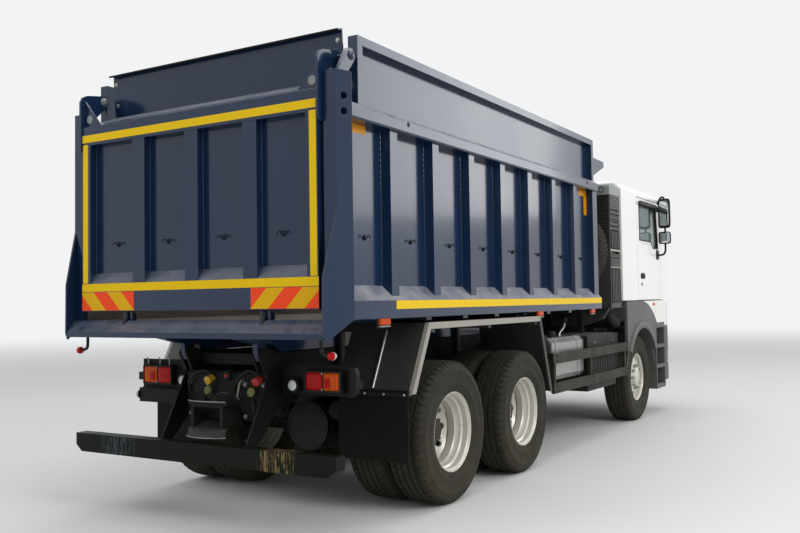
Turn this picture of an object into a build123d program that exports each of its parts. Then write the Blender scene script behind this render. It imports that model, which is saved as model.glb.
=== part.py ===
from build123d import *
import math
import os

# Three-axle rear-tipping dump truck with a forward-control cab, in millimetres.
# X forward, Y to the left, Z up, wheels standing on Z = 0. Stations along the truck are measured
# from the rearmost axle; at the end everything is moved so that the truck's box is centred on X = 0.

# Overall lengths
rear_overhang = 1594.0
axle_spacing = 1350.0
wheelbase = 3750.0
front_overhang = 1440.0
second_axle_x = axle_spacing
front_axle_x = axle_spacing + wheelbase
front_end_x = front_axle_x + front_overhang
overall_length = rear_overhang + front_end_x
shift_x = rear_overhang - overall_length / 2

# Wheels and tyres
tyre_radius = 538.0
tyre_width = 312.0
tyre_flat = 236.0
shoulder_radius = 515.0
shoulder_width = 280.0
sidewall_radius = 455.0
rim_seat_radius = 290.0
rim_width = 250.0
rim_wall = 12.0
disc_wall = 16.0
wheel_facets = 28
twin_outer_y = 1102.0
twin_inner_y = 752.0
front_wheel_y = 1035.0
front_disc_y = 1120.0
hub_radius = 115.0
hub_reach = 160.0
spindle_radius = 45.0
running_gap = 0.08
part_gap = 6.0

# Ladder frame
rail_out_y = 390.0
rail_top_z = 1080.0
rail_height = 270.0
rail_flange = 80.0
rail_wall = 8.0
rail_rear_x = -1130.0
rail_front_x = 6250.0
rail_low_z = rail_top_z - rail_height
rail_web_y = rail_out_y - rail_wall
subframe_height = 100.0
subframe_width = 70.0
subframe_front_x = 3620.0
subframe_top_z = rail_top_z + subframe_height

# Tipping body
body_out_y = 1265.0
panel_out_y = 1163.0
panel_wall = 8.0
panel_in_y = panel_out_y - panel_wall
floor_top_z = 1420.0
floor_wall = 8.0
body_rear_x = -1440.0
body_front_x = 3472.0
front_wall = 8.0
sill_low_z = floor_top_z
sill_top_z = 1539.0
ledge_top_z = 1639.0
waist_low_z = 2705.0
waist_top_z = 2814.0
board_top_z = 3270.0
board_rail = 60.0
board_out_y = 1230.0
board_rear_x = -1230.0
board_front_x = body_front_x - 72
rib_first_x = -852.0
rib_pitch = 598.0
rib_count = 7
rib_face = 95.0
rib_base = 125.0
rib_depth = 72.0
post_rear_x = -1478.0
post_front_x = -1353.0
post_in_y = 1130.0
post_slope = 0.2894
post_hole_z = (2731.0, 2830.0)
post_hole_radius = 26.0
beam_in_y = 320.0
beam_width = 70.0
bearer_low_z = 1330.0
bearer_tip_z = 1388.0
tip_hinge_x = -1180.0
tip_hinge_z = 1170.0
tip_pin_radius = 30.0
tip_angle = 46.0
lip_edge_x = -1586.0
lip_edge_z = 1340.0
wing_wall = 12.0

# Tailgate
gate_out_x = -1509.0
gate_in_x = body_rear_x
gate_half_width = 1105.0
gate_low_z = 1490.0
gate_top_z = 2880.0
gate_panel_wall = 8.0
gate_hinge_x = -1300.0
gate_hinge_z = gate_top_z + 240
gate_pin_radius = 16.0
gate_arm_wall = 20.0
spill_x = -1195.0
spill_foot_z = gate_top_z + 130
spill_top_z = gate_top_z + 460
post_top_z = gate_top_z + 115

# Front-end hoist
hoist_eye_x = body_front_x + 188
hoist_eye_z = 2330.0
hoist_base_x = hoist_eye_x + 220
hoist_base_z = 840.0
hoist_stages = 3
hoist_radii = (95.0, 80.0, 65.0, 50.0)
hoist_wall = 7.0
hoist_step = 12.0
recess_half_width = 240.0
recess_depth = 290.0

# Cab
cab_out_y = 1245.0
cab_rear_x = 4330.0
cab_floor_z = 1500.0
cab_roof_z = 2970.0
cab_eave_z = 2830.0
cab_crown_y = 930.0
cab_wall = 55.0
screen_foot_x = 6490.0
screen_foot_z = 1960.0
screen_head_x = 6170.0
screen_head_z = 2840.0
grille_low_z = 975.0
grille_half_width = 1150.0
cab_tilt_x = 6440.0
cab_tilt_z = 900.0
tilt_boss_radius = 35.0
tilt_pin_radius = 16.0
door_rear_x = 4960.0
door_front_x = 6000.0
door_top_z = 2800.0
door_low_z = 1506.0
door_gap = 10.0
door_hinge_x = 5975.0
door_hinge_y = 1232.0
door_hinge_z = (1600.0, 2080.0)
hinge_knuckle = 50.0
hinge_tail = 35.0
hinge_pin_radius = 8.0
hinge_half_width = 10.0
window_low_z = 2230.0
mirror_x = 5880.0
mirror_in_y = 1276.0
mirror_out_y = 1437.0

# Steering
kingpin_y = 935.0
kingpin_radius = 24.0
boss_radius = 45.0
boss_half_height = 60.0


def block(x0, x1, y0, y1, z0, z1):
    """A box between two corners."""
    box = Box(x1 - x0, y1 - y0, z1 - z0, align=(Align.MIN, Align.MIN, Align.MIN))
    return Pos(x0, y0, z0) * box


def slab(points, low, high, along):
    """A closed outline carried along one axis. Outlines are (x, z) for Y, (y, z) for X, (x, y) for Z."""
    place = {
        "X": lambda p: Vector(low, p[0], p[1]),
        "Y": lambda p: Vector(p[0], low, p[1]),
        "Z": lambda p: Vector(p[0], p[1], low),
    }[along]
    step = {"X": Vector(1, 0, 0), "Y": Vector(0, 1, 0), "Z": Vector(0, 0, 1)}[along]
    outline = Wire.make_polygon([place(p) for p in points])
    return Solid.extrude(Face(outline), step * (high - low))


def rod(start, end, radius):
    """A round bar between two points."""
    a, b = Vector(*start), Vector(*end)
    return Solid.make_cylinder(radius, (b - a).length, Plane(origin=a, z_dir=b - a))


def pin_y(x, z, radius, y0, y1):
    """A round bar across the truck."""
    return rod((x, y0, z), (x, y1, z), radius)


def fuse(*pieces):
    """One solid out of pieces that meet."""
    total = pieces[0]
    for piece in pieces[1:]:
        total = total + piece
    return total


def facet_ring(x, z, y, radius):
    """A regular outline across the truck with a flat side at its foot."""
    corner = radius / math.cos(math.pi / wheel_facets)
    turns = [(k + 0.5) * 2 * math.pi / wheel_facets - math.pi / 2 for k in range(wheel_facets)]
    return Wire.make_polygon(
        [Vector(x + corner * math.cos(t), y, z + corner * math.sin(t)) for t in turns]
    )


def facet_drum(x, z, sections):
    """A drum through regular outlines, each given as (y, radius)."""
    return Solid.make_loft([facet_ring(x, z, y, r) for y, r in sections], ruled=True)


nodes = {}


def save(name, *solids):
    """Keeps a piece, or like pieces, under the name of its file."""
    found = [s for solid in solids for s in (solid.solids() if hasattr(solid, "solids") else [solid])]
    nodes[name] = Compound(children=[Pos(shift_x, 0, 0) * s for s in found])


def tyre(x, z, y):
    """A tyre centred on y, its bore the rim's seat."""
    half, flat, shoulder = tyre_width / 2, tyre_flat / 2, shoulder_width / 2
    sections = [
        (y - half, sidewall_radius),
        (y - shoulder, shoulder_radius),
        (y - flat, tyre_radius),
        (y + flat, tyre_radius),
        (y + shoulder, shoulder_radius),
        (y + half, sidewall_radius),
    ]
    bore = facet_drum(x, z, [(y - tyre_width, rim_seat_radius), (y + tyre_width, rim_seat_radius)])
    return facet_drum(x, z, sections) - bore


def dish(x, z, face_y, mouth_y, disc_radius):
    """The hollow of a rim from its disc out to its mouth."""
    turn = face_y + (mouth_y - face_y) * 0.25
    mouth = rim_seat_radius - rim_wall
    return facet_drum(
        x, z, [(face_y, disc_radius), (turn, mouth - rim_wall), (mouth_y, mouth)]
    )


# Wheels. Every rear wheel is a pair of rims bolted disc to disc on one hub.
disc_radius = 190.0
twin_disc_y = (twin_outer_y + twin_inner_y) / 2
hub_bore_reach = 90.0


def twin_rims(x, side):
    """Both rims of a rear wheel with their hub, bored for the axle's spindle."""
    z = tyre_radius
    outer, inner = twin_outer_y + rim_width / 2, twin_inner_y - rim_width / 2
    drum = facet_drum(x, z, [(side * inner, rim_seat_radius), (side * outer, rim_seat_radius)])
    front = dish(x, z, side * (twin_disc_y + disc_wall), side * outer, disc_radius)
    back = dish(x, z, side * (twin_disc_y - disc_wall), side * inner, disc_radius)
    hub = pin_y(x, z, hub_radius, side * twin_disc_y, side * (twin_disc_y + disc_wall + hub_reach))
    spindle = pin_y(
        x,
        z,
        spindle_radius + running_gap,
        side * inner,
        side * (twin_disc_y + hub_bore_reach),
    )
    return drum - front - back + hub - spindle


def front_rim(x, side):
    """A front rim with its disc near the outer edge and its hub, bored for the knuckle's spindle."""
    z = tyre_radius
    outer, inner = front_wheel_y + rim_width / 2, front_wheel_y - rim_width / 2
    drum = facet_drum(x, z, [(side * inner, rim_seat_radius), (side * outer, rim_seat_radius)])
    face = facet_drum(
        x,
        z,
        [(side * (front_disc_y + disc_wall), disc_radius), (side * outer, rim_seat_radius - rim_wall)],
    )
    back = facet_drum(
        x,
        z,
        [
            (side * inner, rim_seat_radius - rim_wall),
            (side * (front_disc_y - 60), rim_seat_radius - 2 * rim_wall),
            (side * front_disc_y, disc_radius),
        ],
    )
    hub = pin_y(x, z, hub_radius, side * front_disc_y, side * (outer + 30))
    spindle = pin_y(x, z, spindle_radius + running_gap, side * inner, side * (outer - 20))
    return drum - face - back + hub - spindle


for axle_name, axle_x in (("rear", 0.0), ("middle", second_axle_x)):
    for side_name, side in (("left", 1), ("right", -1)):
        save(
            f"{axle_name}_tyres_{side_name}",
            tyre(axle_x, tyre_radius, side * twin_outer_y),
            tyre(axle_x, tyre_radius, side * twin_inner_y),
        )
        save(f"{axle_name}_rims_{side_name}", twin_rims(axle_x, side))
for side_name, side in (("left", 1), ("right", -1)):
    save(f"front_tyre_{side_name}", tyre(front_axle_x, tyre_radius, side * front_wheel_y))
    save(f"front_rim_{side_name}", front_rim(front_axle_x, side))

# Ladder frame
cross_member_x = (rail_rear_x, 675.0, 2080.0, 3250.0, 6110.0)
cross_member_width = 70.0
cross_member_height = 200.0


def channel(y_web, y_tip):
    """One side rail, a channel that opens inwards."""
    outer = block(rail_rear_x, rail_front_x, min(y_web, y_tip), max(y_web, y_tip), rail_low_z, rail_top_z)
    inner_web = y_web - math.copysign(rail_wall, y_web)
    hollow = block(
        rail_rear_x - 1,
        rail_front_x + 1,
        min(inner_web, y_tip - math.copysign(1, y_web)),
        max(inner_web, y_tip - math.copysign(1, y_web)),
        rail_low_z + rail_wall,
        rail_top_z - rail_wall,
    )
    return outer - hollow


rail_tip_y = rail_out_y - rail_flange
save("frame_rails", channel(rail_out_y, rail_tip_y), channel(-rail_out_y, -rail_tip_y))

# Cross members, with the drawbar jaw at the rear and the cab's front bearings at the front.
jaw_x = -1350.0
jaw_low_z = 640.0
jaw_top_z = 830.0
jaw_half_width = 150.0
cross_mid_z = (rail_low_z + rail_top_z) / 2
members = [
    block(
        x,
        x + cross_member_width,
        -rail_web_y,
        rail_web_y,
        cross_mid_z - cross_member_height / 2,
        cross_mid_z + cross_member_height / 2,
    )
    for x in cross_member_x
]
jaw_plate = block(rail_rear_x - 20, rail_rear_x, -rail_web_y, rail_web_y, 700, 1030)
jaw_outline = [
    (jaw_x, jaw_top_z),
    (jaw_x + 60, jaw_top_z - 40),
    (rail_rear_x - 20, jaw_top_z - 40),
    (rail_rear_x - 20, jaw_low_z + 40),
    (jaw_x + 60, jaw_low_z + 40),
    (jaw_x, jaw_low_z),
]
jaw = slab(jaw_outline, -jaw_half_width, jaw_half_width, "Y")
jaw_mouth = slab(
    [(jaw_x - 1, jaw_low_z + 20), (jaw_x + 80, jaw_low_z + 70), (jaw_x + 130, jaw_low_z + 70),
     (jaw_x + 130, jaw_top_z - 70), (jaw_x + 80, jaw_top_z - 70), (jaw_x - 1, jaw_top_z - 20)],
    -jaw_half_width + 25,
    jaw_half_width - 25,
    "Y",
)
jaw_pin_x = jaw_x + 100
jaw_pin_radius = 20.0
jaw_bore = rod((jaw_pin_x, 0, jaw_low_z), (jaw_pin_x, 0, jaw_top_z), jaw_pin_radius)
members[0] = fuse(members[0], jaw_plate, jaw - jaw_mouth - jaw_bore)
bearing_ear = slab(
    [
        (rail_front_x + 50, rail_low_z + 10),
        (cab_tilt_x, cab_tilt_z - tilt_boss_radius),
        (cab_tilt_x + tilt_boss_radius - 5, cab_tilt_z),
        (cab_tilt_x, cab_tilt_z + tilt_boss_radius),
        (rail_front_x + 50, rail_top_z - 10),
    ],
    0,
    15,
    "Y",
)
for side in (1, -1):
    foot_y = sorted((side * rail_tip_y, side * rail_out_y))
    foot = block(rail_front_x, rail_front_x + 50, *foot_y, rail_low_z + 10, rail_top_z - 10)
    ears = [Pos(0, y, 0) * bearing_ear for y in (foot_y[0], foot_y[1] - 15)]
    tilt_pin = pin_y(cab_tilt_x, cab_tilt_z, tilt_pin_radius, *foot_y)
    members.append(fuse(foot, *ears, tilt_pin))
save("cross_members", *members)

# Subframe under the tipping body, with the tipping hinge's ears and pins
hinge_ear_wall = 20.0
hinge_lug_wall = 40.0
hinge_gap = 0.4
ear_in_y = beam_in_y - 15
lug_in_y = ear_in_y + hinge_ear_wall + hinge_gap
lug_out_y = lug_in_y + hinge_lug_wall
ear_out_y = lug_out_y + hinge_gap
subframe_pieces = []
for side in (1, -1):
    rail_y = sorted((side * (rail_out_y - subframe_width), side * rail_out_y))
    subframe_pieces.append(
        block(rail_rear_x, subframe_front_x, *rail_y, rail_top_z, subframe_top_z)
    )
    ear = slab(
        [
            (rail_rear_x + 110, rail_top_z),
            (rail_rear_x + 110, subframe_top_z),
            (tip_hinge_x + 30, tip_hinge_z + 48),
            (tip_hinge_x - 30, tip_hinge_z + 48),
            (tip_hinge_x - 50, tip_hinge_z),
            (tip_hinge_x - 30, tip_hinge_z - 48),
            (tip_hinge_x + 10, rail_top_z - 30),
            (rail_rear_x, rail_top_z - 30),
            (rail_rear_x, rail_top_z),
        ],
        0,
        hinge_ear_wall,
        "Y",
    )
    inner = ear_in_y if side > 0 else -ear_in_y - hinge_ear_wall
    outer = ear_out_y if side > 0 else -ear_out_y - hinge_ear_wall
    pin = pin_y(
        tip_hinge_x, tip_hinge_z, tip_pin_radius, side * ear_in_y, side * (ear_out_y + hinge_ear_wall)
    )
    subframe_pieces += [Pos(0, inner, 0) * ear, Pos(0, outer, 0) * ear, pin]
for x in (rail_rear_x + 60, 1500.0, subframe_front_x - 150):
    subframe_pieces.append(
        block(x, x + 80, -rail_tip_y - 10, rail_tip_y + 10, rail_top_z + 10, subframe_top_z - 10)
    )
save("subframe", fuse(*subframe_pieces))

# Cradle of the hoist between the rails
cradle_wall = 30.0
hoist_trunnion_radius = 32.0
hoist_trunnion_y = 150.0
cradle = []
for side in (1, -1):
    near, far = sorted((side * hoist_trunnion_y, side * (hoist_trunnion_y - cradle_wall)))
    plate = block(hoist_base_x - 90, hoist_base_x + 90, near, far, hoist_base_z - 50, rail_top_z - 20)
    arm = block(
        hoist_base_x - 70,
        hoist_base_x + 70,
        *sorted((side * (hoist_trunnion_y - 1), side * rail_web_y)),
        rail_low_z + 60,
        rail_top_z - 60,
    )
    bore = pin_y(
        hoist_base_x, hoist_base_z, hoist_trunnion_radius + running_gap, side * 100, side * 160
    )
    cradle.append(fuse(plate, arm) - bore)
save("hoist_cradle", *cradle)

# Engine with gearbox as plain blocks, and the propeller shafts
engine = block(4760, 6040, -290, 290, 620, 1430)
gearbox = slab([(4180, 640), (4760, 600), (4760, 1040), (4180, 860)], -190, 190, "Y")
front_nose_x = second_axle_x + 245
tail_x = second_axle_x - 200
long_shaft = fuse(
    rod((front_nose_x, 0, 590), (front_nose_x + 45, 0, 590), 70),
    rod((front_nose_x + 30, 0, 590), (4200, 0, 690), 55),
)
short_shaft = fuse(
    rod((tail_x, 0, 578), (tail_x - 45, 0, 578), 65),
    rod((tail_x - 30, 0, 578), (275, 0, 560), 50),
    rod((245, 0, 560), (290, 0, 560), 65),
)
save("powertrain", fuse(engine, gearbox, long_shaft), short_shaft)

# Axles
diff_radius = 215.0
housing_radius = 75.0
spring_seat_z = 614.0
axle_pieces = []
for axle_x in (0.0, second_axle_x):
    housing = pin_y(axle_x, tyre_radius, housing_radius, -840, 840)
    bowl = Solid.make_cylinder(
        diff_radius, 300, Plane(origin=(axle_x - 150, 0, tyre_radius), z_dir=(1, 0, 0))
    )
    nose = rod((axle_x + 140, 0, tyre_radius + 22), (axle_x + 245, 0, tyre_radius + 22), 95)
    tail = rod((axle_x - 140, 0, tyre_radius + 40), (axle_x - 200, 0, tyre_radius + 40), 70)
    spindles = [
        pin_y(axle_x, tyre_radius, spindle_radius, side * 830, side * (twin_disc_y + 75))
        for side in (1, -1)
    ]
    seats = [
        block(axle_x - 60, axle_x + 60, *sorted((side * 425, side * 515)), tyre_radius, spring_seat_z)
        for side in (1, -1)
    ]
    axle_pieces.append(fuse(housing, bowl, nose, tail, *spindles, *seats))
save("rear_axles", *axle_pieces)

front_beam_outline = [
    (-kingpin_y, 585), (-700, 560), (-520, 500), (520, 500), (700, 560), (kingpin_y, 585),
    (kingpin_y, 490), (700, 460), (520, 400), (-520, 400), (-700, 460), (-kingpin_y, 490),
]
front_beam = slab(front_beam_outline, front_axle_x - 45, front_axle_x + 45, "X")
front_bosses = [
    rod(
        (front_axle_x, side * kingpin_y, tyre_radius - boss_half_height),
        (front_axle_x, side * kingpin_y, tyre_radius + boss_half_height),
        boss_radius,
    )
    for side in (1, -1)
]
king_bores = [
    rod(
        (front_axle_x, side * kingpin_y, tyre_radius - 100),
        (front_axle_x, side * kingpin_y, tyre_radius + 100),
        kingpin_radius + running_gap,
    )
    for side in (1, -1)
]
save("front_axle", fuse(front_beam, *front_bosses) - king_bores[0] - king_bores[1])

# Steering knuckles: a fork over the beam's boss, its kingpin, the brake's back plate and the spindle
fork_gap = 0.5
fork_thickness = 35.0


def knuckle(side):
    y = side * kingpin_y
    z = tyre_radius
    low, high = z - boss_half_height - fork_gap, z + boss_half_height + fork_gap
    arms = []
    for z0, z1 in ((low - fork_thickness, low), (high, high + fork_thickness)):
        arms.append(rod((front_axle_x, y, z0), (front_axle_x, y, z1), boss_radius))
        arms.append(
            block(
                front_axle_x - 40,
                front_axle_x + 40,
                *sorted((y, side * (kingpin_y + 75))),
                z0,
                z1,
            )
        )
    back = block(
        front_axle_x - 60,
        front_axle_x + 60,
        *sorted((side * (kingpin_y + 55), side * (kingpin_y + 80))),
        low - fork_thickness,
        high + fork_thickness,
    )
    pin = rod((front_axle_x, y, low - 5), (front_axle_x, y, high + 5), kingpin_radius)
    brake = pin_y(front_axle_x, z, 200, side * (kingpin_y + 78), side * (kingpin_y + 150))
    spindle = pin_y(front_axle_x, z, spindle_radius, side * (kingpin_y + 80), side * 1135)
    return fuse(*arms, back, pin, brake, spindle)


save("knuckle_left", knuckle(1))
save("knuckle_right", knuckle(-1))

# Leaf springs: a long one over each end of the front axle and an upturned one over each rear pair
front_spring_y = 425.0
rear_spring_y = 470.0
spring_width = 90.0
spring_pieces = []
for side in (1, -1):
    y0, y1 = sorted(
        (side * (front_spring_y - spring_width / 2), side * (front_spring_y + spring_width / 2))
    )
    leaf = slab(
        [
            (front_axle_x - 780, 700), (front_axle_x - 400, 580), (front_axle_x, 540),
            (front_axle_x + 400, 580), (front_axle_x + 780, 700), (front_axle_x + 780, 660),
            (front_axle_x + 400, 545), (front_axle_x + 60, 500), (front_axle_x - 60, 500),
            (front_axle_x - 400, 545), (front_axle_x - 780, 660),
        ],
        y0,
        y1,
        "Y",
    )
    hangers = [
        slab([(x - 50, 640), (x + 50, 640), (x + 70, 830), (x - 70, 830)], y0 + 10, y1 - 10, "Y")
        for x in (front_axle_x - 740, front_axle_x + 740)
    ]
    braces = [
        block(x - 60, x + 60, *sorted((side * rail_out_y, side * (rail_out_y + 60))), 820, 940)
        for x in (front_axle_x - 740, front_axle_x + 740)
    ]
    spring_pieces.append(fuse(leaf, *hangers, *braces))
for side in (1, -1):
    y0, y1 = sorted((side * (rear_spring_y - spring_width / 2), side * (rear_spring_y + spring_width / 2)))
    middle = second_axle_x / 2
    leaf = slab(
        [
            (-90, 614), (90, 614), (middle - 120, 700), (middle + 120, 700),
            (second_axle_x - 90, 614), (second_axle_x + 90, 614), (second_axle_x + 90, 650),
            (middle + 150, 850), (middle - 150, 850), (-90, 650),
        ],
        y0,
        y1,
        "Y",
    )
    saddle = block(
        middle - 110, middle + 110, *sorted((side * rail_out_y, side * (rear_spring_y + 20))), 845, 1020,
    )
    spring_pieces.append(fuse(leaf, saddle))
save("leaf_springs", *spring_pieces)

# Tanks and boxes along the frame
tank_rear_x = 2210.0
tank_front_x = 3130.0
tank_outline = [
    (-600, 720), (-1110, 720), (-1160, 770), (-1160, 1090), (-1110, 1140), (-600, 1140),
]
tank = slab(tank_outline, tank_rear_x, tank_front_x, "X")
tank_arms = [
    block(x, x + 60, -600, -rail_out_y, 860, 1040) for x in (tank_rear_x + 100, tank_front_x - 160)
]
save("fuel_tank", fuse(tank, *tank_arms))

box_rear_x = 3270.0
box_front_x = 4340.0
battery = block(box_rear_x, box_front_x, -1160, -620, 700, 1120)
battery_foot = block(box_rear_x + 40, box_front_x - 40, -1140, -660, 520, 700)
battery_arms = [
    block(x, x + 60, -620, -rail_out_y, 860, 1040) for x in (box_rear_x + 120, box_front_x - 110)
]
save("battery_box", fuse(battery, battery_foot, *battery_arms))

silencer = slab(
    [(600, 660), (1090, 660), (1150, 720), (1150, 1080), (1090, 1140), (600, 1140)], 2210, 3110, "X"
)
silencer_arms = [block(x, x + 60, rail_out_y, 600, 860, 1040) for x in (2300, 2960)]
save("silencer", fuse(silencer, *silencer_arms))

air_tank_radius = 125.0
air_rows = ((3290.0, 4330.0, 740.0), (3290.0, 4330.0, 1000.0))
air_pieces = []
for x0, x1, z in air_rows:
    air_pieces.append(rod((x0, 880, z), (x1, 880, z), air_tank_radius))
air_rack = [block(x, x + 60, rail_out_y, 960, 700, 1040) for x in (3420.0, 4120.0)]
save("air_tanks", fuse(*air_pieces, *air_rack))

# Side guards: two flat rails on posts on each side
guard_rear_x = 2050.0
guard_front_x = 4460.0
guard_out_y = 1250.0
guard_post_x = (2120.0, 3180.0, 4390.0)
guard_pieces = []
for side in (1, -1):
    rails = [
        block(
            guard_rear_x, guard_front_x, *sorted((side * (guard_out_y - 25), side * guard_out_y)), z,
            z + 100,
        )
        for z in (620.0, 905.0)
    ]
    posts = [
        block(x, x + 50, *sorted((side * (guard_out_y - 60), side * (guard_out_y - 25))), 620, 1005)
        for x in guard_post_x
    ]
    arms = [
        block(x, x + 50, *sorted((side * rail_out_y, side * (guard_out_y - 60))), 950, 1000)
        for x in guard_post_x
    ]
    guard_pieces.append(fuse(*rails, *posts, *arms))
save("side_guards", *guard_pieces)

# Intake tower behind the cab, with its louvres, and its duct down to the frame
tower_rear_x = 3910.0
tower_front_x = 4285.0
tower_out_y = -1235.0
tower_in_y = -990.0
tower_low_z = 1420.0
tower_top_z = 2815.0
slat_pitch = 62.0
tower = block(tower_rear_x, tower_front_x, tower_out_y, tower_in_y, tower_low_z, tower_top_z)
cap = slab(
    [
        (tower_rear_x - 12, tower_top_z - 60), (tower_front_x + 10, tower_top_z - 60),
        (tower_front_x + 10, tower_top_z), (tower_rear_x + 60, tower_top_z + 30),
        (tower_rear_x - 12, tower_top_z),
    ],
    tower_out_y - 5,
    tower_in_y + 10,
    "Y",
)
slot_rows = int((tower_top_z - 200 - (tower_low_z + 560)) / slat_pitch)
slots = [
    block(
        tower_rear_x + 40, tower_front_x - 40, tower_out_y - 1, tower_out_y + 35, z, z + slat_pitch * 0.55,
    )
    for z in [tower_low_z + 560 + k * slat_pitch for k in range(slot_rows)]
]
for slot in slots:
    tower = tower - slot
duct = slab(
    [(tower_out_y + 60, tower_low_z), (tower_in_y - 20, tower_low_z), (-470, 1250), (-470, 1060),
     (-rail_out_y, 1060), (-rail_out_y, 1000), (-600, 1000), (-600, 1150), (-1090, 1290)],
    tower_rear_x + 90,
    tower_front_x - 90,
    "X",
)
save("intake_tower", fuse(tower, cap, duct))

# Spare wheel, upright across the frame, and its carrier
spare_x = 3668.0
spare_y = -712.0
spare_z = 2075.0


def turned_across(solid):
    """Turns a wheel made about the Y axis at the origin so that it faces along the truck."""
    return Pos(spare_x, spare_y, spare_z) * (Rot(0, 0, 90) * solid)


save("spare_tyre", turned_across(tyre(0, 0, 0)))
spare_drum = facet_drum(0, 0, [(-rim_width / 2, rim_seat_radius), (rim_width / 2, rim_seat_radius)])
spare_back = facet_drum(0, 0, [(-rim_width / 2, 278), (40, 266), (80, disc_radius)])
spare_face = facet_drum(0, 0, [(80 + disc_wall, disc_radius), (rim_width / 2, 278)])
save("spare_rim", turned_across(spare_drum - spare_back - spare_face))
carrier_x = spare_x + rim_width / 2 + 50
spare_disc_x = spare_x - 80
carrier_low_z = 1130.0
carrier_posts = [
    block(carrier_x, carrier_x + 60, y, y + 60, carrier_low_z, spare_z + 160) for y in (-520.0, -900.0)
]
carrier_foot = fuse(
    block(carrier_x, carrier_x + 60, -900, -rail_tip_y, carrier_low_z, carrier_low_z + 80),
    block(carrier_x, carrier_x + 60, -rail_out_y, -rail_tip_y, rail_top_z, carrier_low_z + 10),
)
carrier_arm = block(carrier_x, carrier_x + 60, -900, -460, spare_z - 60, spare_z + 60)
carrier_bolt = rod((carrier_x, spare_y, spare_z), (spare_disc_x, spare_y, spare_z), 70)
save("spare_carrier", fuse(*carrier_posts, carrier_foot, carrier_arm, carrier_bolt))

# Rear mudguards, cranked over both axles, with their arms and flaps
guard_bend = [(-640.0, 880.0), (-384.0, 1372.0), (1740.0, 1372.0), (1987.0, 657.0)]
guard_rim = 45.0
guard_wall = 12.0
guard_in_y = 600.0
guard_edge_y = 1255.0


def bent_band(path, depth):
    """A band under a cranked path, its ends cut level."""
    (x0, z0), (x1, z1), (x2, z2), (x3, z3) = path
    lean_rear = depth * math.hypot(x1 - x0, z1 - z0) / (z1 - z0)
    lean_front = depth * math.hypot(x3 - x2, z2 - z3) / (z2 - z3)
    crank_rear = (x1 - x0) / (z1 - z0) * depth
    crank_front = (x3 - x2) / (z2 - z3) * depth
    return [
        (x0, z0), (x1, z1), (x2, z2), (x3, z3), (x3 - lean_front, z3),
        (x2 - lean_front + crank_front, z2 - depth), (x1 + lean_rear - crank_rear, z1 - depth),
        (x0 + lean_rear, z0),
    ]


mud_pieces = []
for side in (1, -1):
    skin = slab(bent_band(guard_bend, guard_wall), *sorted((side * guard_in_y, side * guard_edge_y)), "Y")
    edge = slab(
        bent_band(guard_bend, guard_rim), *sorted((side * (guard_edge_y - 20), side * guard_edge_y)), "Y"
    )
    arms = []
    for x in (-310.0, 650.0, 1640.0):
        arms.append(block(x, x + 50, *sorted((side * 400, side * (guard_edge_y - 20))), 1300, 1362))
        arms.append(block(x, x + 50, *sorted((side * 400, side * 430)), 1020, 1310))
        arms.append(block(x, x + 50, *sorted((side * rail_out_y, side * 405)), 1020, 1075))
    hanger = block(-640, -615, *sorted((side * 640, side * (guard_edge_y - 20))), 865, 905)
    mud_pieces.append(fuse(skin, edge, hanger, *arms))
save("rear_mudguards", *mud_pieces)
flaps = []
for side in (1, -1):
    flaps.append(block(-652, -640, *sorted((side * 640, side * 1225)), 400, 905))
save("mudflaps", *flaps)

# Underrun bar and its brackets
underrun_rear_x = -1487.0
underrun_half_width = 1202.0
underrun_low_z = 440.0
underrun_top_z = 576.0
bar = slab(
    [
        (-underrun_half_width, underrun_low_z + 50), (-underrun_half_width + 60, underrun_low_z),
        (underrun_half_width - 60, underrun_low_z), (underrun_half_width, underrun_low_z + 50),
        (underrun_half_width, underrun_top_z), (-underrun_half_width, underrun_top_z),
    ],
    underrun_rear_x,
    underrun_rear_x + 100,
    "X",
)
underrun_arm = slab(
    [
        (underrun_rear_x + 95, underrun_low_z + 20), (underrun_rear_x + 95, underrun_top_z),
        (rail_rear_x - 10, 1050), (-820, 1050), (-820, 840), (-1080, 760),
    ],
    0,
    14,
    "Y",
)
underrun_arms = [Pos(0, y, 0) * underrun_arm for y in (rail_out_y, -rail_out_y - 14)]
save("underrun_bar", fuse(bar, *underrun_arms))

# Tail lamps on a bar across the frame's end
lamp_x = -1055.0
lamp_rows = (
    # inner y, outer y, low z, high z, depth
    (640.0, 945.0, 915.0, 1065.0, 70.0),
    (490.0, 570.0, 915.0, 995.0, 60.0),
)
lamp_pieces = []
for side in (1, -1):
    boxes = [
        block(lamp_x, lamp_x + depth, *sorted((side * y0, side * y1)), z0, z1)
        for y0, y1, z0, z1, depth in lamp_rows
    ]
    bar_y = sorted((side * (rail_out_y + 14), side * 1060))
    lamp_pieces.append(fuse(*boxes, block(lamp_x + 55, lamp_x + 95, *bar_y, 940, 1000)))
save("tail_lamps", *lamp_pieces)

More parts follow.
